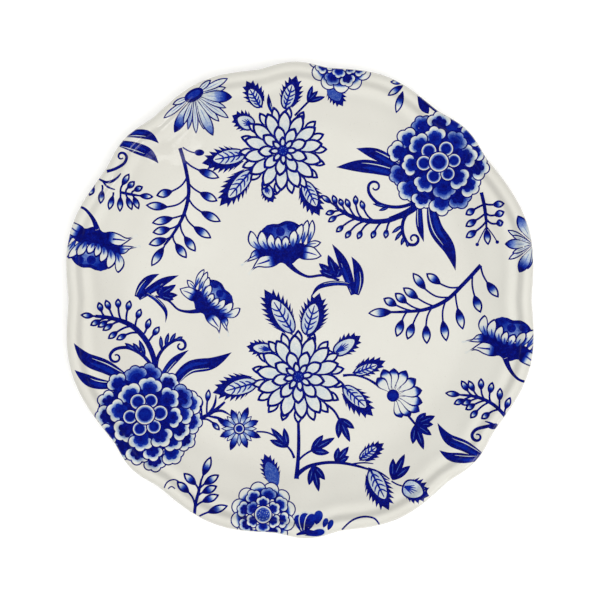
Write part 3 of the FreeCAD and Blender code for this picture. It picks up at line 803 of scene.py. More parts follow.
def heart_leaf(art, base, tip, width, teeth=6):
    """A broad pale leaf with a toothed dark edge and veins that fan from its foot."""
    way = tip - base
    side = 1j * way / abs(way)
    art.fill(serrated(base, tip, width, teeth))
    end = between(base, tip, 0.84)
    art.petal(base, end, 0.78 * width, fade(base, end, 0.36, 0.1), line=0.95, belly=0.4, point=0.6)
    for turn in (-0.5, -0.25, 0.0, 0.25, 0.5):
        reach = 0.55 - 0.3 * abs(turn)
        art.line([base + 0.08 * way, base + reach * (way + side * turn * width * 0.9)],
                 (1.2, 0.8, 0.3), 0.85)


def blade(art, points, width, stripe=0.22):
    """A long dark grass-like leaf with a light stripe beside its middle."""
    path = curve(points)
    art.fill(band(path, swelling(len(path), 0.55 * width, width, 0.1)))
    side = 1j * np.gradient(path)
    side = side / (np.abs(side) + TINY)
    length = len(path)
    kept = slice(int(0.06 * length), int(0.62 * length))
    inner = (path - side * width * stripe)[kept]
    art.fill(band(inner, swelling(len(inner), 0.1, 0.05 * width + 0.12, 0.1)), PALE)
    broad = (path + side * width * 0.12)[kept]
    art.fill(band(broad, swelling(len(broad), 0.2, 0.3 * width, 0.2)), 0.86)


COIL_STEPS = 8              # places on the spiral of a tendril
COIL_TURN = 0.8             # the turn from each to the next, in radians
COIL_SHRINK = 0.87          # and how much nearer the eye it lies


def scroll(art, points, eye, turn, width=1.9):
    """A tendril that ends in a spiral round its eye: turn is 1 anticlockwise, -1 clockwise."""
    arm = points[-1] - eye
    coil = [eye + arm * COIL_SHRINK ** step * cmath.exp(1j * COIL_TURN * turn * step)
            for step in range(1, COIL_STEPS + 1)]
    art.line(points + coil, (1.1 * width, width, 0.45 * width), step=0.5)


# ---------------------------------------------------------------- flower heads
def petal_ring(art, centre, count, start, reach, width, turn, belly, line=1.15):
    """Pale pointed petals round a centre, from one distance out to another."""
    shade = glow(centre, reach, 0.34, 0.02)
    for number in range(count):
        degrees = turn + 360 * number / count
        art.petal(ray(centre, degrees, start), ray(centre, degrees, reach), width, shade,
                  line=line, belly=belly, point=0.9)


# The rings of a dahlia from the outside in: petals, start, end and width as shares of the
# flower's reach, turn in degrees, and where along its length a petal is widest.
DAHLIA_RINGS = ((18, 0.62, 1.0, 0.2, 0, 0.5), (14, 0.2, 0.91, 0.31, 8, 0.62),
                (9, 0.1, 0.58, 0.27, 20, 0.6), (8, 0.04, 0.33, 0.16, 0, 0.58))
DAHLIA_EYE = 0.13
DAHLIA_EYE_DOTS = 9


def dahlia(art, centre, reach, turn):
    """A dahlia seen from the front, ring upon ring of pale petals with dark outlines."""
    for number, (count, start, end, width, shift, belly) in enumerate(DAHLIA_RINGS):
        petal_ring(art, centre, count, start * reach, end * reach, width * reach, turn + shift,
                   belly)
        if number == 0:
            art.disc(centre, 0.7 * reach, SOFT, count=40)
    art.disc(centre, DAHLIA_EYE * reach, glow(centre, DAHLIA_EYE * reach, 0.85, 1.0))
    for number in range(DAHLIA_EYE_DOTS):
        art.disc(ray(centre, 360 / DAHLIA_EYE_DOTS * number, 0.07 * reach), 0.35, MIDDLE, count=8)


SCALLOP_OUT = 0.58          # where a lobed petal's scallops lie, as a share of its size
CORE_OUT = 0.42             # and where their cores lie
CORE_SIZE = 0.54            # a core's radius as a share of its scallop's


def lobed_petal(art, centre, size, turn, line=0.75):
    """A petal of three scallops with broad white rims; its deep blue core lies inwards."""
    chance = art.chance
    spread = chance.uniform(54, 64)
    scallops = [(turn + spread * side, size * chance.uniform(0.38, 0.47)) for side in (-1, 1, 0)]
    pale = chance.choice((0.0, 0.0, 0.1, 0.4))
    for degrees, radius in scallops:
        art.disc(ray(centre, degrees, SCALLOP_OUT * size), radius + line)
    rim = glow(centre, 0.9 * size, 1.3, pale)
    for degrees, radius in scallops:
        art.disc(ray(centre, degrees, SCALLOP_OUT * size), radius, rim)
    core = chance.choice((1.0, 0.9, 0.78))
    for degrees, radius in scallops:
        art.disc(ray(centre, degrees, CORE_OUT * size), CORE_SIZE * radius, core)
    art.disc(ray(centre, turn, -0.12 * size), CORE_SIZE * size,
             glow(centre, 0.9 * size, 1.0, core))


def ringed_disc(art, centre, radius, rim=0.27, line=0.75):
    """A small round petal: a dark outline, a white rim and a deep blue core."""
    art.disc(centre, radius + line)
    art.disc(centre, radius, BARE)
    art.disc(centre, radius * (1 - 0.4 * rim), glow(centre, radius, 2.0, 0.05))
    art.disc(centre, radius * (1 - rim) * 0.92, glow(centre, radius, 0.88, 1.0))


# The rings of lobed petals: how many, how far out, how large, and turned by how much.
PEONY_RINGS = ((14, 21.3, 6.4, 20), (8, 14.0, 6.4, 0))
PEONY_GROUND = 22           # radius of the dark that shows between the petals
PEONY_HEART = 6             # ringed petals round the middle one, at the distance
PEONY_HEART_REACH = 8.3
ROSE_RINGS = ((8, 10.4, 4.5, 18), (6, 6.2, 3.9, 18))
ROSE_SEEDS = 26
GOLDEN_ANGLE = 137.5        # the turn from each seed to the next, as in a real seed head


def peony(art, centre, turn):
    """A full round flower of lobed petals with white rims, deep blue between them."""
    chance = art.chance
    art.disc(centre, PEONY_GROUND, DARK, count=40)
    for count, distance, size, start in PEONY_RINGS:
        for number in range(count):
            degrees = turn + start + 360 * number / count + chance.uniform(-5, 5)
            place = ray(centre, degrees, distance + chance.uniform(-1.3, 1.3))
            lobed_petal(art, place, size + chance.uniform(-0.6, 0.8), degrees)
    for number in range(PEONY_HEART):
        degrees = turn + 29 + 360 * number / PEONY_HEART + chance.uniform(-6, 6)
        ringed_disc(art, ray(centre, degrees, PEONY_HEART_REACH), chance.uniform(3.4, 4.1),
                    line=0.7)
    ringed_disc(art, centre, 5.3)


def rose(art, centre, turn, leaf_base, leaf_tip):
    """A flatter round flower over its leaf: white lobes outside, dark-cored petals inside."""
    art.fill(serrated(leaf_base, leaf_tip, 10, 7))
    art.fill(oval(leaf_base, between(leaf_base, leaf_tip, 0.75), 7.5, point=0.7), MIDDLE)
    for number in range(12):
        degrees = turn + 30 * number
        place = ray(centre, degrees, 13.8)
        art.disc(place, 4.7)
        art.disc(place, 4.0, glow(centre, 15.5, 1.3, 0.03, power=7.0))
    for count, distance, size, start in ROSE_RINGS:
        for number in range(count):
            degrees = turn + start + 360 * number / count
            lobed_petal(art, ray(centre, degrees, distance), size, degrees, line=0.6)
    ringed_disc(art, centre, 4.6, rim=0.2)
    art.disc(centre, 3.6, 0.72)
    for number in range(ROSE_SEEDS):
        spot = ray(centre, GOLDEN_ANGLE * number, 0.68 * math.sqrt(number))
        art.disc(spot, 0.26, art.chance.choice((0.3, 0.42, 1.0)), count=7)


def lotus():
    """The cup-shaped flower that the print repeats: its own drawing, to be stamped."""
    art = Drawing()
    art.line([-7+21j, -2+16.2j, 4+13.2j, 13+13.8j, 22+11j], (3.4, 1.5, 1.5))
    seed_head = curve([-21.5+39j, -19+41.3j, -15.5+42.6j, -12.5+42.6j, -8+44.3j, -3+43.5j, 1+40j,
                       -3+34j, -10+32j, -17+34j], closed=True)
    art.fill(seed_head)
    art.fill(inset(seed_head, 2.0), glow(-8+35j, 11, 0.35, 0.95))
    for spot, radius in ((-17.5+39.8j, 2.3), (-11+38.2j, 2.6), (-5+41j, 2.4)):
        art.disc(spot, radius, glow(spot, radius, 1.0, 0.92))
    body = curve([-25+28.5j, -22+30.5j, -12+30j, 2+31.5j, 5.5+29.5j, 4+24j, -1+23j, -4+20.5j,
                  -7+19.7j, -10.5+20.8j, -14+19.5j, -18+22j, -22+24.5j], closed=True)
    art.fill(body)
    upper = fade(-23+26.8j, -26.5+25j, 1.1, 0.1)
    art.leaflet([-20+26j, -24+28.7j, -27+26.8j, -28.5+23.5j, -31+21.4j, -33.3+19j],
                [-20+26j, -23.5+23.3j, -27+21.9j, -31+20.6j, -33.3+19j], upper, 0.75)
    art.line([-24+25.6j, -28+23.3j], (1.0, 0.8, 0.3), 0.8)
    lower = fade(-14+21.5j, -18.5+20.6j, 1.1, 0.04)
    art.leaflet([-14+24.5j, -19+25.3j, -22.5+24.3j, -25+21j, -27+17.3j, -29.2+14j],
                [-14+24.5j, -12+20.5j, -15+18.5j, -19+18j, -24+18.1j, -27+16.2j, -29.2+14j],
                lower, 0.8)
    art.line([-17+22.3j, -20+21.2j, -24+20j], (1.4, 0.9, 0.3), 0.9)
    tall = ((3.2+29j, 7.1+45j, 4.0, -0.9), (1+28.5j, 4.3+45j, 4.4, 0.2),
            (-1.5+28j, 1.2+42.9j, 4.9, 0.9))
    low = ((-19.5+26.5j, -28+38.8j, 5.8, 1.9), (-16+26j, -22+39j, 5.8, 1.7),
           (-12.5+26j, -16.8+37.6j, 5.2, 1.3), (-9.5+26j, -12.8+35.9j, 4.6, 0.9),
           (-4+27j, -3+39.7j, 5.2, 0.4), (-8.2+26.5j, -7.8+36.1j, 4.8, 0.1))
    for base, tip, width, bend in tall + low:
        shade = fade(between(base, tip, 0.2), between(base, tip, 0.68), 1.05, 0.0, 0.7)
        art.petal(base, tip, width, shade, line=0.75, belly=0.66, point=0.8, bend=bend)
        side = 1j * (tip - base) / abs(tip - base)
        art.line([between(base, tip, 0.25) + side * 0.75 * bend,
                  between(base, tip, 0.6) + side * 0.9 * bend], (1.3, 1.0, 0.2), 0.75)
    art.petal(1.5+30j, 12+32.3j, 4.2, fade(3+31j, 7+31.5j, 1.1, 0.03), line=0.75, belly=0.6)
    art.line([5+31.3j, 9+31.7j], (0.8, 0.6, 0.3), 0.8)
    art.leaflet([-2+26j, 3+30.3j, 8+29.6j, 10.5+27j, 12.3+24.6j],
                [-2+26j, 0.5+23j, 5+22.4j, 9.5+23j, 12.3+24.6j],
                fade(1.5+26j, 5+25.7j, 1.1, 0.04), 0.8)
    art.line([2+27j, 6+26.2j, 9.5+25j], (1.3, 0.8, 0.3), 0.9)
    return art


def lotus_branch():
    """The flower with the leaves at the foot of its stem."""
    art = Drawing()
    blade(art, [30+3j, 26.5+14j, 23+23j, 18+31.3j], 5.8, stripe=-0.18)
    blade(art, [31.5+3j, 33+11j, 32+18j, 28.8+24.3j], 5.6, stripe=0.16)
    blade(art, [29+8.3j, 18+9.3j, 10+6.8j, 6+1j], 3)
    spray(art, 20.5+12.5j, (10.5+20.5j, 10.8+16.5j, 19.5+21.3j, 22.5+17.3j, 15.7+25.3j), 4.4)
    art.stamp(lotus(), 1, 0)
    return art


def daisy_petal(art, centre, tip, width, tone):
    """One petal of an aster: tone says how dark its tip is."""
    start = between(centre, tip, 0.35)
    art.petal(centre, tip, width, fade(start, tip, PALE, tone, 1.6), line=0.75,
              belly=0.66, point=0.9)
    art.line([start, between(centre, tip, 0.75)], (0.3, 0.35, 0.1), 0.5)


# ---------------------------------------------------------------- the printed patches
# One function for each print node of the CAD, with places in the same frame.
def low_dahlia(art):
    leaf(art, 4-21j, 11+4j, 15, teeth=9)
    leaf(art, -4-20j, -20+6j, 15, teeth=9, bold=-1)
    leaf(art, -23-45j, -49-52j, 14, teeth=8)
    art.line([-10-24j, -13-27j, -17-27j], 1.0)
    heart_leaf(art, -15-28j, -30-26j, 9)
    art.line([14-25j, 18-29j, 20-29j], 1.0)
    heart_leaf(art, 19-30j, 34-20j, 11)
    leaf(art, 29-41j, 48-34j, 9.5, teeth=6, bold=-1)
    leaf(art, 23-48j, 41-65j, 12.5)
    art.line([14-58j, 19-62j, 22-67j], 1.4)
    spray(art, 22-66j, (30.5-72j, 21.5-77.5j, 28-79.5j), 4)
    art.line([-1-66j, -0.8-84j, -2-100j], (1.5, 2, 2.8))
    branch = [-2-98j, 4-93.5j, 12-91.3j, 22-91j, 30-92.3j, 38-94.5j]
    art.line(branch, (2.6, 1.8, 1.2))
    art.line([-1-90j, 2-87j, 7-84j], 1.2)
    spray(art, 6-84.5j, (16.5-85.5j, 13-75.5j, 19.5-77j), 4)
    spray(art, 20-91j, (27.5-87.5j, 21.5-82.5j, 27.3-82j), 3.8)
    art.line([28-92j, 36-91j, 41-91.5j], (1.0, 0.9, 0.5))
    leaf(art, 33-90j, 47-80j, 9, teeth=6)
    spray(art, 7.5-92.5j, (5-103.5j, 14-100.5j, 10.5-107j), 4)
    leaf(art, 38-94j, 49.5-117j, 14, teeth=9)
    art.line([38-94j, 45-96.5j, 50-100j], (1.2, 1.0, 0.6))
    spray(art, 51.5-100.5j, (61.5-92.5j, 52-88.5j, 58.5-86j), 4.2)
    art.line([51-101j, 54-102.7j, 59-104j], 0.9)
    heart_leaf(art, 57-103.5j, 72-109j, 14)
    dahlia(art, -1-43j, 26.5, 10)


def half_aster(art):
    art.line([24-42.3j, 30-42j, 36-43.5j, 44-48j], (1.6, 1.2, 1.8))
    heart = 52-53.5j
    tips = [57-66j, 62-65j, 67-62.5j, 68.7-57.5j, 68.5-50.5j, 65-44j, 59.5-39.3j, 52.5-38j,
            46.5-38.5j, 43-43.5j]
    for tip in tips:
        shade = fade(between(heart, tip, 0.72), between(heart, tip, 0.9), 0.06, 1.1)
        art.petal(heart, tip, 6.6, shade, line=0.9, belly=0.72, point=1.0)
    art.disc(heart, 3.5, glow(heart, 3.5, 0.85, 1.0))
    art.line([60-64j, 62-66.5j, 65-70j], 1.4)
    spray(art, 64.5-69.5j, (74.5-69.5j, 70.5-63j, 75.5-64.8j, 73.5-75.5j, 63-80.5j, 69-83.5j), 4.2)


def upper_dahlia(art):
    leaf(art, -21+107j, -30+122j, 11, teeth=6)
    leaf(art, -8+105.5j, -2+125j, 12, teeth=7)
    heart_leaf(art, -25.5+97j, -38+103j, 11)
    leaf(art, -29+81j, -55+76.5j, 13.5, teeth=8, bold=-1)
    leaf(art, -27+74j, -45+52.5j, 13, teeth=8)
    art.line([-19+70j, -20+67j, -19.5+64j], 1.2)
    heart_leaf(art, -20+64.5j, -15+54.5j, 8.5)
    leaf(art, 1+67j, 11+47j, 12.5, teeth=7)
    blade(art, [-15+104j, -17+109j, -17.5+115j], 2.6)
    art.line([-30+82j, -34+81j], 1.2)
    art.line([-3+103j, 1+107j, 5+111j], 1.2)
    spray(art, 4+110.5j, (10+116.5j, 7+119.5j, 14+113.3j), 3)
    dahlia(art, -9.5+83.5j, 25, 2)


def right_peony(art):
    centre = 77.5 + 77j
    blade(art, [56+74j, 44+81j, 31.5+84.8j], 6.6)
    blade(art, [56+70j, 40+74.5j, 20.3+74.3j], 7.6)
    scroll(art, [68+58j, 60+53j, 50+52.3j, 42+55.5j, 38.3+61.5j], 42+63.3j, -1)
    spray(art, 50+52j, (40.5+53.8j, 44+50j), 2)
    stem = [68+55j, 58+48j, 50+44.7j, 40+44j, 30+46.3j, 20+52j]
    above = [(25+49j, 20.5+53j, 18.3+59j), (28+47.5j, 24+52j, 22+57j), (32+45.5j, 28+51j, 25.5+57j),
             (36+44.3j, 31.3+52.5j, 31+58.8j), (42+44j, 36+50j, 34+56j)]
    below = [(24+50j, 20+49.8j, 14+48j), (28+47.3j, 21+47.3j, 15.5+43.5j),
             (32+45.7j, 24.7+42j, 20+37.8j), (37+44.3j, 28.7+39.3j, 25.3+34.3j),
             (41+44j, 34.6+39.3j, 32.2+33.8j), (47+44.3j, 42.3+39.5j, 40+34.2j),
             (51+45j, 48.6+40j, 47.8+34.2j)]
    sprig(art, stem, above + below + [(23+50j, 18+54j, 11.5+58.8j)], 3.9, 2.8, 1.15)
    art.line([68+55j, 60+49j, 50+45.2j], (4.6, 3.8, 2.6))
    scroll(art, [62+51j, 57.5+43j, 58+36j, 61.5+31j], 63.5+34.3j, 1)
    for joint, tip in ((57.5+42j, 51.3+37.3j), (57.7+39.5j, 53+33j), (58.5+36j, 56.5+30.5j),
                       (60+33j, 60.3+29.5j)):
        small_leaf(art, joint, tip, 2.2)
    blade(art, [67+54j, 67+42j, 69.3+32.5j], 4.2)
    blade(art, [73.5+55j, 76+40j, 83.5+28.5j, 87+16.5j], 8.2)
    twigs = [(102+54j, 107+53j, 114+53.7j), (103+49j, 108+47j, 114+49.2j),
             (104+45j, 109+42.3j, 113.5+43.5j), (102+53j, 98+51j, 92.3+47.5j),
             (103+48j, 99+45j, 92.3+41j), (104+44j, 99+39j, 92.5+34.7j),
             (104+44j, 104+40j, 105+30.5j)]
    sprig(art, [101+60j, 103+51j, 104+42j], twigs, 4.9, 2.0, 1.2)
    for end in (99+31j, 110+32.3j):
        art.line([104+41j, between(104+42j, end, 0.55), end], 0.7)
        art.disc(end, 1.0)
    art.fill(oval(65+114j, 71.5+103.5j, 5.2, belly=0.6))
    art.line([66+113j, 72+108.5j, 78+103j], (0.8, 2.2, 0.8))
    peony(art, centre, 98)


def left_peony(art):
    centre = -86.5 - 64j
    blade(art, [-97-44j, -108-37.5j, -119-32.5j, -125.7-24j], 8)
    blade(art, [-104-47.5j, -116-45.5j, -125.3-39j], 6.4)
    blade(art, [-71-47j, -62-38j, -49-35.3j, -38.3-29.3j], 7.5, stripe=0.3)
    blade(art, [-78-44j, -71-34.5j, -62.3-28j], 4)
    stem = [-80.5-44j, -82-32j, -87-21.5j, -94-14.5j, -103-10.7j, -114-9j]
    above = [(-108-9.8j, -110.5-7j, -112.3-1j), (-104-10.4j, -106-6j, -108.5+0.3j),
             (-100-11.5j, -101.5-5j, -101.7+1j), (-97-12.8j, -96.7-6.5j, -95+0j),
             (-92-16.3j, -91.5-11j, -89-4.7j), (-88.5-19.8j, -86.2-17j, -83.8-10j),
             (-85.5-24j, -82.7-20.3j, -78.5-14.7j)]
    below = [(-107-10j, -111-11j, -117-14.3j), (-103-10.7j, -107-11.5j, -113-15.3j),
             (-99-12j, -104-13j, -110.3-17.2j), (-94-14.5j, -101.5-17.3j, -107.3-21.8j),
             (-90-18.5j, -96.5-19j, -102.8-22.3j)]
    sprig(art, stem, above + below + [(-111-9.3j, -114.5-9j, -122.3-8.3j)], 4.2, 3.0, 1.2)
    scroll(art, [-81.5-39j, -90-29.5j, -98-26.5j, -104.5-28.5j], -102.7-32j, 1)
    for joint, tip in ((-91-29j, -98-24j), (-89-30j, -93.5-24j), (-86.5-31.5j, -90-22.3j)):
        small_leaf(art, joint, tip, 2.8)
    scroll(art, [-80.5-41j, -79-31j, -74-25j, -68-22.2j], -66.8-25.7j, -1)
    for joint, tip in ((-77.5-28j, -78-20j), (-75.5-26j, -73.5-18.3j), (-73-24.3j, -69.5-18.3j),
                       (-70-23j, -65.5-20.5j)):
        small_leaf(art, joint, tip, 2.4)
    right = [(-55-66j, -55.3-60.5j, -56-54.5j), (-52-65j, -52-57.5j, -51-49.8j),
             (-56-67j, -49.5-68j, -44.8-73j)]
    sprig(art, [-61-67j, -53-65j, -46-60.5j, -42-57j], right, 3.8, 2.1, 1.1)
    for points in ([-53-65j, -48-59j, -47-53j], [-52-64.5j, -44-62j, -38.5-65j],
                   [-52-65j, -46-66j, -41.5-67.5j]):
        art.line(points, (0.6, 1.6, 0.5))
    for degrees in (-78, -55, -32, -9, 14):
        lobed_petal(art, ray(centre, degrees, 25.5), 6.6, degrees)
    peony(art, centre, 35)


def star_flower(art):
    centre = -34 - 72j
    for number in range(32):
        degrees = 11.25 * number + art.chance.uniform(-2, 2)
        art.line([ray(centre, degrees, 3), ray(centre, degrees, art.chance.uniform(8, 10.5))],
                 (0.3, 0.7, 0.15), 0.72)
    for number in range(8):
        tip = ray(centre, 45 * number, 10)
        art.petal(centre, tip, 3.0, glow(centre, 9.8, 0.8, 0.05), line=0.55, belly=0.58)
    for number in range(8):
        tip = ray(centre, 45 * number + 22.5, 13.2 if number % 2 else 11.8)
        art.petal(centre, tip, 3.9, glow(centre, 13, -0.1, 1.6, power=1.5), line=0.7, belly=0.62)
    ringed_disc(art, centre, 2.5, rim=0.3, line=0.9)
    art.line([-24.5-73.7j, -18-74.3j, -12-77.5j], 1.0)
    art.line([-8-81j, -5-84.5j, -3.2-88.5j], (1.0, 1.3, 1.6))
    spray(art, -6.8-82.5j, (-17-78.3j, -9-71.5j, -16.3-71.5j), 3.6)


def middle_lotus(art):
    art.stamp(lotus_branch(), 1, 0)


def left_lotus(art):
    art.stamp(lotus_branch(), cmath.rect(0.843, math.radians(142.7)), -71.8-16.4j, mirrored=True)


def left_edge_lotus(art):
    art.stamp(lotus(), cmath.rect(0.973, math.radians(155.6)), -110.7+60.6j)


def right_edge_lotus(art):
    art.stamp(lotus(), cmath.rect(0.973, math.radians(-24.4)), 112.2-53.9j)


def upper_bud_sprig(art):
    stem = [-67+84.8j, -63.8+73j, -62.3+60j, -65+48j, -71+37j, -76+30.5j]
    right = [(-64.5+78j, -57.5+73j, -45+68.3j), (-62.8+66j, -56.5+60.3j, -46+55.3j),
             (-62.5+57j, -56+49.7j, -44.2+43.8j), (-64.5+49j, -60+41.3j, -49.5+34.5j),
             (-67+43.5j, -65+36j, -58.3+27j), (-71+37j, -70+32j, -63.3+23.3j)]
    left = [(-63+69j, -71+61j, -80.5+58.3j), (-62.5+59j, -73.5+52j, -86.3+53j),
            (-65.5+47.5j, -70.5+46j, -83+43j), (-67+43.5j, -72+40j, -82.7+37.7j),
            (-70+38.5j, -74+34.3j, -84.8+31j), (-76+30.5j, -76+30j, -83.3+18.8j)]
    sprig(art, stem, right + left, 5.8, 2.1, 1.05)
    art.line([-65.5+85.2j, -60+82.5j, -56+82.3j], (0.8, 0.8, 1.4))
    art.fill(oval(-59+82.3j, -53.5+82.5j, 3.6, point=0.55))


def right_bud_sprig(art):
    stem = [101+19.5j, 91+8.5j, 82+0j, 70-5.3j, 60-6.5j, 51-6.8j]
    above = [(90+7.3j, 79+8.7j, 70.5+15j), (84+1.5j, 70.5+5.5j, 63+15.3j),
             (75-3.5j, 66.5+0.5j, 57.5+7j), (69-5.6j, 60-2j, 53+4j), (64-6.3j, 54.5-3.3j, 46.5+1j),
             (101+19j, 104+10.5j, 110.8+1.3j)]
    below = [(96.5+14j, 97.3+3j, 101-7.3j), (87+4.5j, 88-4j, 91.2-16.7j),
             (81.5-0.5j, 79.8-11j, 82-23.3j), (74-4j, 70.5-13.5j, 71-24.8j),
             (67-6j, 63.6-12.5j, 60-22.3j), (60-6.5j, 57.5-10.5j, 54-20.8j)]
    sprig(art, stem, above + below, 5.8, 2.2, 1.05)
    bud(art, 52-6.7j, 38-7.4j, 6.2)


def top_left_aster(art):
    centre = -59 + 114j
    for tip, width, tone in ((-76+101j, 3.6, 0.1), (-71+108.5j, 3.6, 0.1), (-62.5+94.7j, 3.2, 0.7),
                             (-58+92.7j, 3.6, 0.3), (-45+99.5j, 4.4, 0.2), (-39.7+101.5j, 4.4, 0.2),
                             (-41+107j, 3.6, 0.3), (-41+118.3j, 3.8, 0.1), (-40+123.3j, 4.4, 0.1),
                             (-49.5+122.5j, 3.6, 0.2), (-70+93.2j, 6, 1.4),
                             (-65+97.5j, 3.4, 0.3), (-53.5+95j, 3.4, 0.2), (-48.5+91.7j, 6, 0.7),
                             (-37.7+113j, 7, 1.4)):
        daisy_petal(art, centre, tip, width, tone)
    art.fill(oval(-64+111j, -54+117j, 6.5, point=0.45))
    art.fill(oval(-62.5+112.2j, -55.5+116.4j, 3.4, point=0.45), 0.8)


def right_edge_aster(art):
    heart = 130 + 31j
    for tip, width, tone in ((115.5+39j, 3.6, 0.1), (118+36j, 3.2, 0.1), (116+22.5j, 3.6, 0.1),
                             (118+26j, 3.2, 0.1), (126.5+17j, 4, 0.9), (121+47j, 6.4, 1.0),
                             (122+15.2j, 6.4, 1.5), (114+31.2j, 6, 1.0)):
        daisy_petal(art, heart, tip, width, tone)


def bottom_rose(art):
    rose(art, -20.5-119.5j, 12, -13-104.5j, -20-86j)


def top_rose(art):
    rose(art, 23+133.5j, 0, 16+121j, 24+108j)


def top_left_blades(art):
    blade(art, [-97+92j, -90+92.5j, -84+91.5j, -78.7+87.3j], 5.2)
    blade(art, [-100+87j, -91+84.5j, -84+81.5j, -79+76.3j], 6.4)
    scroll(art, [-107.5+71.5j, -102+73.3j, -97+77.5j], -99.3+79.7j, 1, 1.6)


def left_edge_sprig(art):
    stem = [-100+60j, -95+59j, -90+58.3j]
    shoots = [(-100+60j, -100+58j, -100.5+49j), (-97+59.5j, -96.7+58j, -93.7+50j),
              (-94+59j, -93+58j, -90+50.5j), (-100+60j, -99.3+63.5j, -95+70.5j),
              (-97+59.5j, -96.5+62j, -92+66.3j), (-94+59j, -93+60.8j, -87.5+63.3j),
              (-90+58.3j, -90+58.3j, -81.8+57.6j), (-110+64j, -109.8+61.5j, -111.2+53.3j),
              (-104+60j, -104+58.5j, -106.5+50j), (-115+65j, -114.5+63.5j, -117.3+57.8j)]
    sprig(art, stem, shoots, 4.2, 1.6, 1.1)
    art.line([-112+67.5j, -107+65.5j, -103+67j, -99.7+70.5j], (1.0, 1.6, 0.6))
    art.line([-110+66.5j, -107+63j, -103+61.5j], (0.8, 1.2, 0.6))


def top_buds(art):
    bud(art, 57.3+116.3j, 53.5+104j, 5)
    bud(art, 57.5+119.5j, 48.7+113.7j, 4.4)
    bud(art, 57.5+121j, 50+121.3j, 3.6)


def right_edge_sprig(art):
    stem = [114-64.5j, 108-58.5j, 100-54.5j, 90-53j]
    shoots = [(97-53.7j, 94-51.3j, 90-44.8j), (101-54.8j, 97.3-51.5j, 94-44.7j),
              (103-55.7j, 101-50.5j, 101-43.5j), (107-58j, 105.5-52.5j, 107.3-45.5j),
              (111-61j, 111-56.5j, 111.5-48.7j), (114-64j, 114-61j, 117-53.8j),
              (96-53.5j, 92-55.3j, 85.7-58.3j), (100-54.5j, 96-55.8j, 90-58.5j),
              (103-56j, 98-57.8j, 92-61.3j), (105-57j, 99.3-61j, 94.7-66j),
              (110-61j, 106-62.5j, 100.7-66.3j), (92-53j, 90-53j, 81-52j)]
    sprig(art, stem, shoots, 4.3, 2.0, 1.1)
    scroll(art, [109.5-69.5j, 103-70.5j, 97-73j], 98.7-76j, 1, 1.9)
    art.fill(oval(104-70.5j, 111-70j, 3.4))
    art.line([103-67.5j, 106-68.5j, 109-70j], (0.6, 1.3, 0.8))


def right_low_blades(art):
    blade(art, [101-87j, 92-81.5j, 83-77.5j, 76.8-68.7j], 6.6)
    blade(art, [99-88j, 90-88j, 83-87j, 77.7-83.8j], 5.6)


def bottom_left_sprig(art):
    stem = [-58.7-119j, -58-113j, -56-105j, -55-100j]
    shoots = [(-56-104j, -54.3-98.5j, -49.7-87.3j), (-57-108j, -57.5-103.3j, -65-96.3j),
              (-57-108j, -54-103j, -45-97.5j), (-57.5-111j, -55-107.5j, -46-103.7j),
              (-58-115j, -55-112.5j, -45-108.5j), (-57-121j, -52-118.3j, -40-114.5j),
              (-58.5-114j, -61.5-107.5j, -68.7-101j)]
    sprig(art, stem, shoots, 5.4, 1.8, 1.1, 1.0)
    art.line([-75.5-104.5j, -73.5-101j, -70-100j, -66.5-102j], 0.8)
    art.line([-73.3-105j, -71.5-103.7j, -69.5-105j], 0.7)


def bottom_flower(art):
    heart = 2 - 131j
    for tip, width in ((-2-119j, 6), (3-117.8j, 7), (14.5-128.5j, 5), (8-118.5j, 6.5)):
        art.petal(heart, tip, width, glow(tip, 10, 0.85, 1.0), line=0.5, edge=PALE, belly=0.7,
                  point=0.5)
    for base, tip, width in ((9-125j, 11-117.3j, 5), (13-126.5j, 15-121.5j, 3),
                             (15.5-128j, 18-122.3j, 3)):
        art.fill(oval(base, tip, width, belly=0.6, point=0.5), fade(base, tip, 1.0, 0.75))
    art.line([-2-130.5j, 4-129j, 10-129.5j], (1.0, 2.6, 0.8))


def bottom_loop(art):
    art.line([23.3-127.8j, 30-122j, 37-120.5j, 41.7-121.7j, 44.3-125.3j], (0.9, 1.1, 0.9))


PRINTED = (low_dahlia, half_aster, upper_dahlia, right_peony, left_peony, star_flower,
           middle_lotus, left_lotus, left_edge_lotus, right_edge_lotus, upper_bud_sprig,
           right_bud_sprig, top_left_aster, right_edge_aster, bottom_rose, top_rose,
           top_left_blades, left_edge_sprig, top_buds, right_edge_sprig, right_low_blades,
           bottom_left_sprig, bottom_flower, bottom_loop)


def build_print():
    ink = cobalt_ink()
    for number, motif in enumerate(PRINTED):
        art = Drawing(number)
        motif(art)
        print_piece(motif.__name__, art, ink)


# ---------------------------------------------------------------- studio
VIEW_WIDTH = 333.6          # how much of the rim's plane the picture shows across
CAMERA_HEIGHT = 2500.0


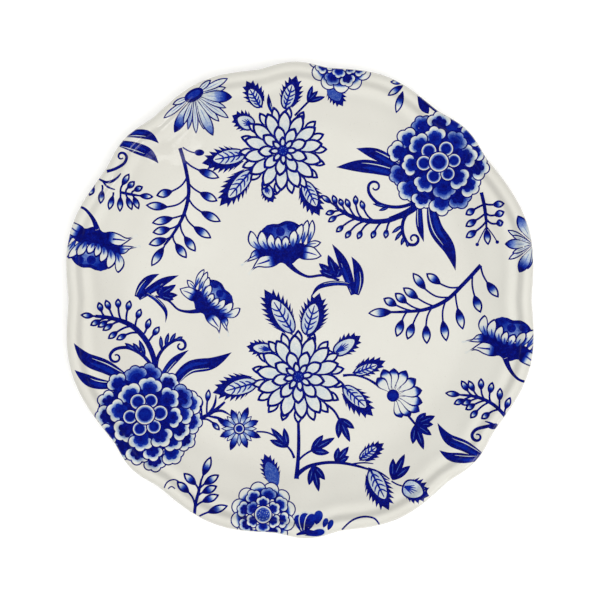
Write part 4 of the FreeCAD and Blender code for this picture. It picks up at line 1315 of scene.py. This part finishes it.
def build_studio():
    bpy.ops.mesh.primitive_plane_add(size=6.0, location=(0, 0, 0))
    floor = bpy.context.object
    floor.name = "floor"
    floor.data.materials.append(floor_paper())

    world = bpy.data.worlds.new("studio")
    bpy.context.scene.world = world
    world.use_nodes = True
    background = world.node_tree.nodes["Background"]
    background.inputs["Color"].default_value = (0.97, 0.98, 1.0, 1.0)
    background.inputs["Strength"].default_value = 0.06

    overhead = add_light("overhead", (0.25, -0.3, 2.8), 3.4, 130, (1.0, 0.995, 0.985))
    overhead.visible_glossy = False
    fill = add_light("upper_left", (-1.6, 1.6, 1.4), 1.2, 11)
    fill.visible_glossy = False
    add_light("low_right", (1.9, -1.9, 0.9), 0.9, 8, (1.0, 0.98, 0.95))
    build_window()

    camera = bpy.data.cameras.new("camera")
    camera.sensor_width = 36
    rim_distance = CAMERA_HEIGHT - RIM_HEIGHT
    camera.lens = camera.sensor_width * rim_distance / VIEW_WIDTH
    camera.clip_end = 20
    holder = bpy.data.objects.new("camera", camera)
    holder.location = (0, 0, CAMERA_HEIGHT * METRES)
    bpy.context.scene.collection.objects.link(holder)
    bpy.context.scene.camera = holder
    bpy.context.scene.view_settings.view_transform = "Standard"


def add_light(name, place, size, power, colour=(1.0, 1.0, 1.0), size_y=None):
    """A rectangular lamp that shines on the middle of the plate."""
    light = bpy.data.lights.new(name, "AREA")
    light.shape = "RECTANGLE"
    light.size = size
    light.size_y = size_y or size
    light.energy = power
    light.color = colour
    holder = bpy.data.objects.new(name, light)
    holder.location = place
    aim = -Vector(place)
    holder.rotation_euler = aim.to_track_quat("-Z", "Y").to_euler()
    bpy.context.scene.collection.objects.link(holder)
    return holder


def build_window():
    """Four small panes of a window low on the right, which show in the glaze of the wall."""
    centre = Vector((0.92, -1.08, 1.25))
    across = Vector((0.76, 0.65, 0)).normalized()
    upward = Vector((-0.35, 0.45, 0.8)).normalized()
    for column in (-1, 1):
        for row in (-1, 1):
            place = centre + across * (0.09 * column) + upward * (0.12 * row)
            add_light(f"pane_{column}_{row}", tuple(place), 0.13, 0.12, size_y=0.18)


build_ware()
build_print()
build_studio()
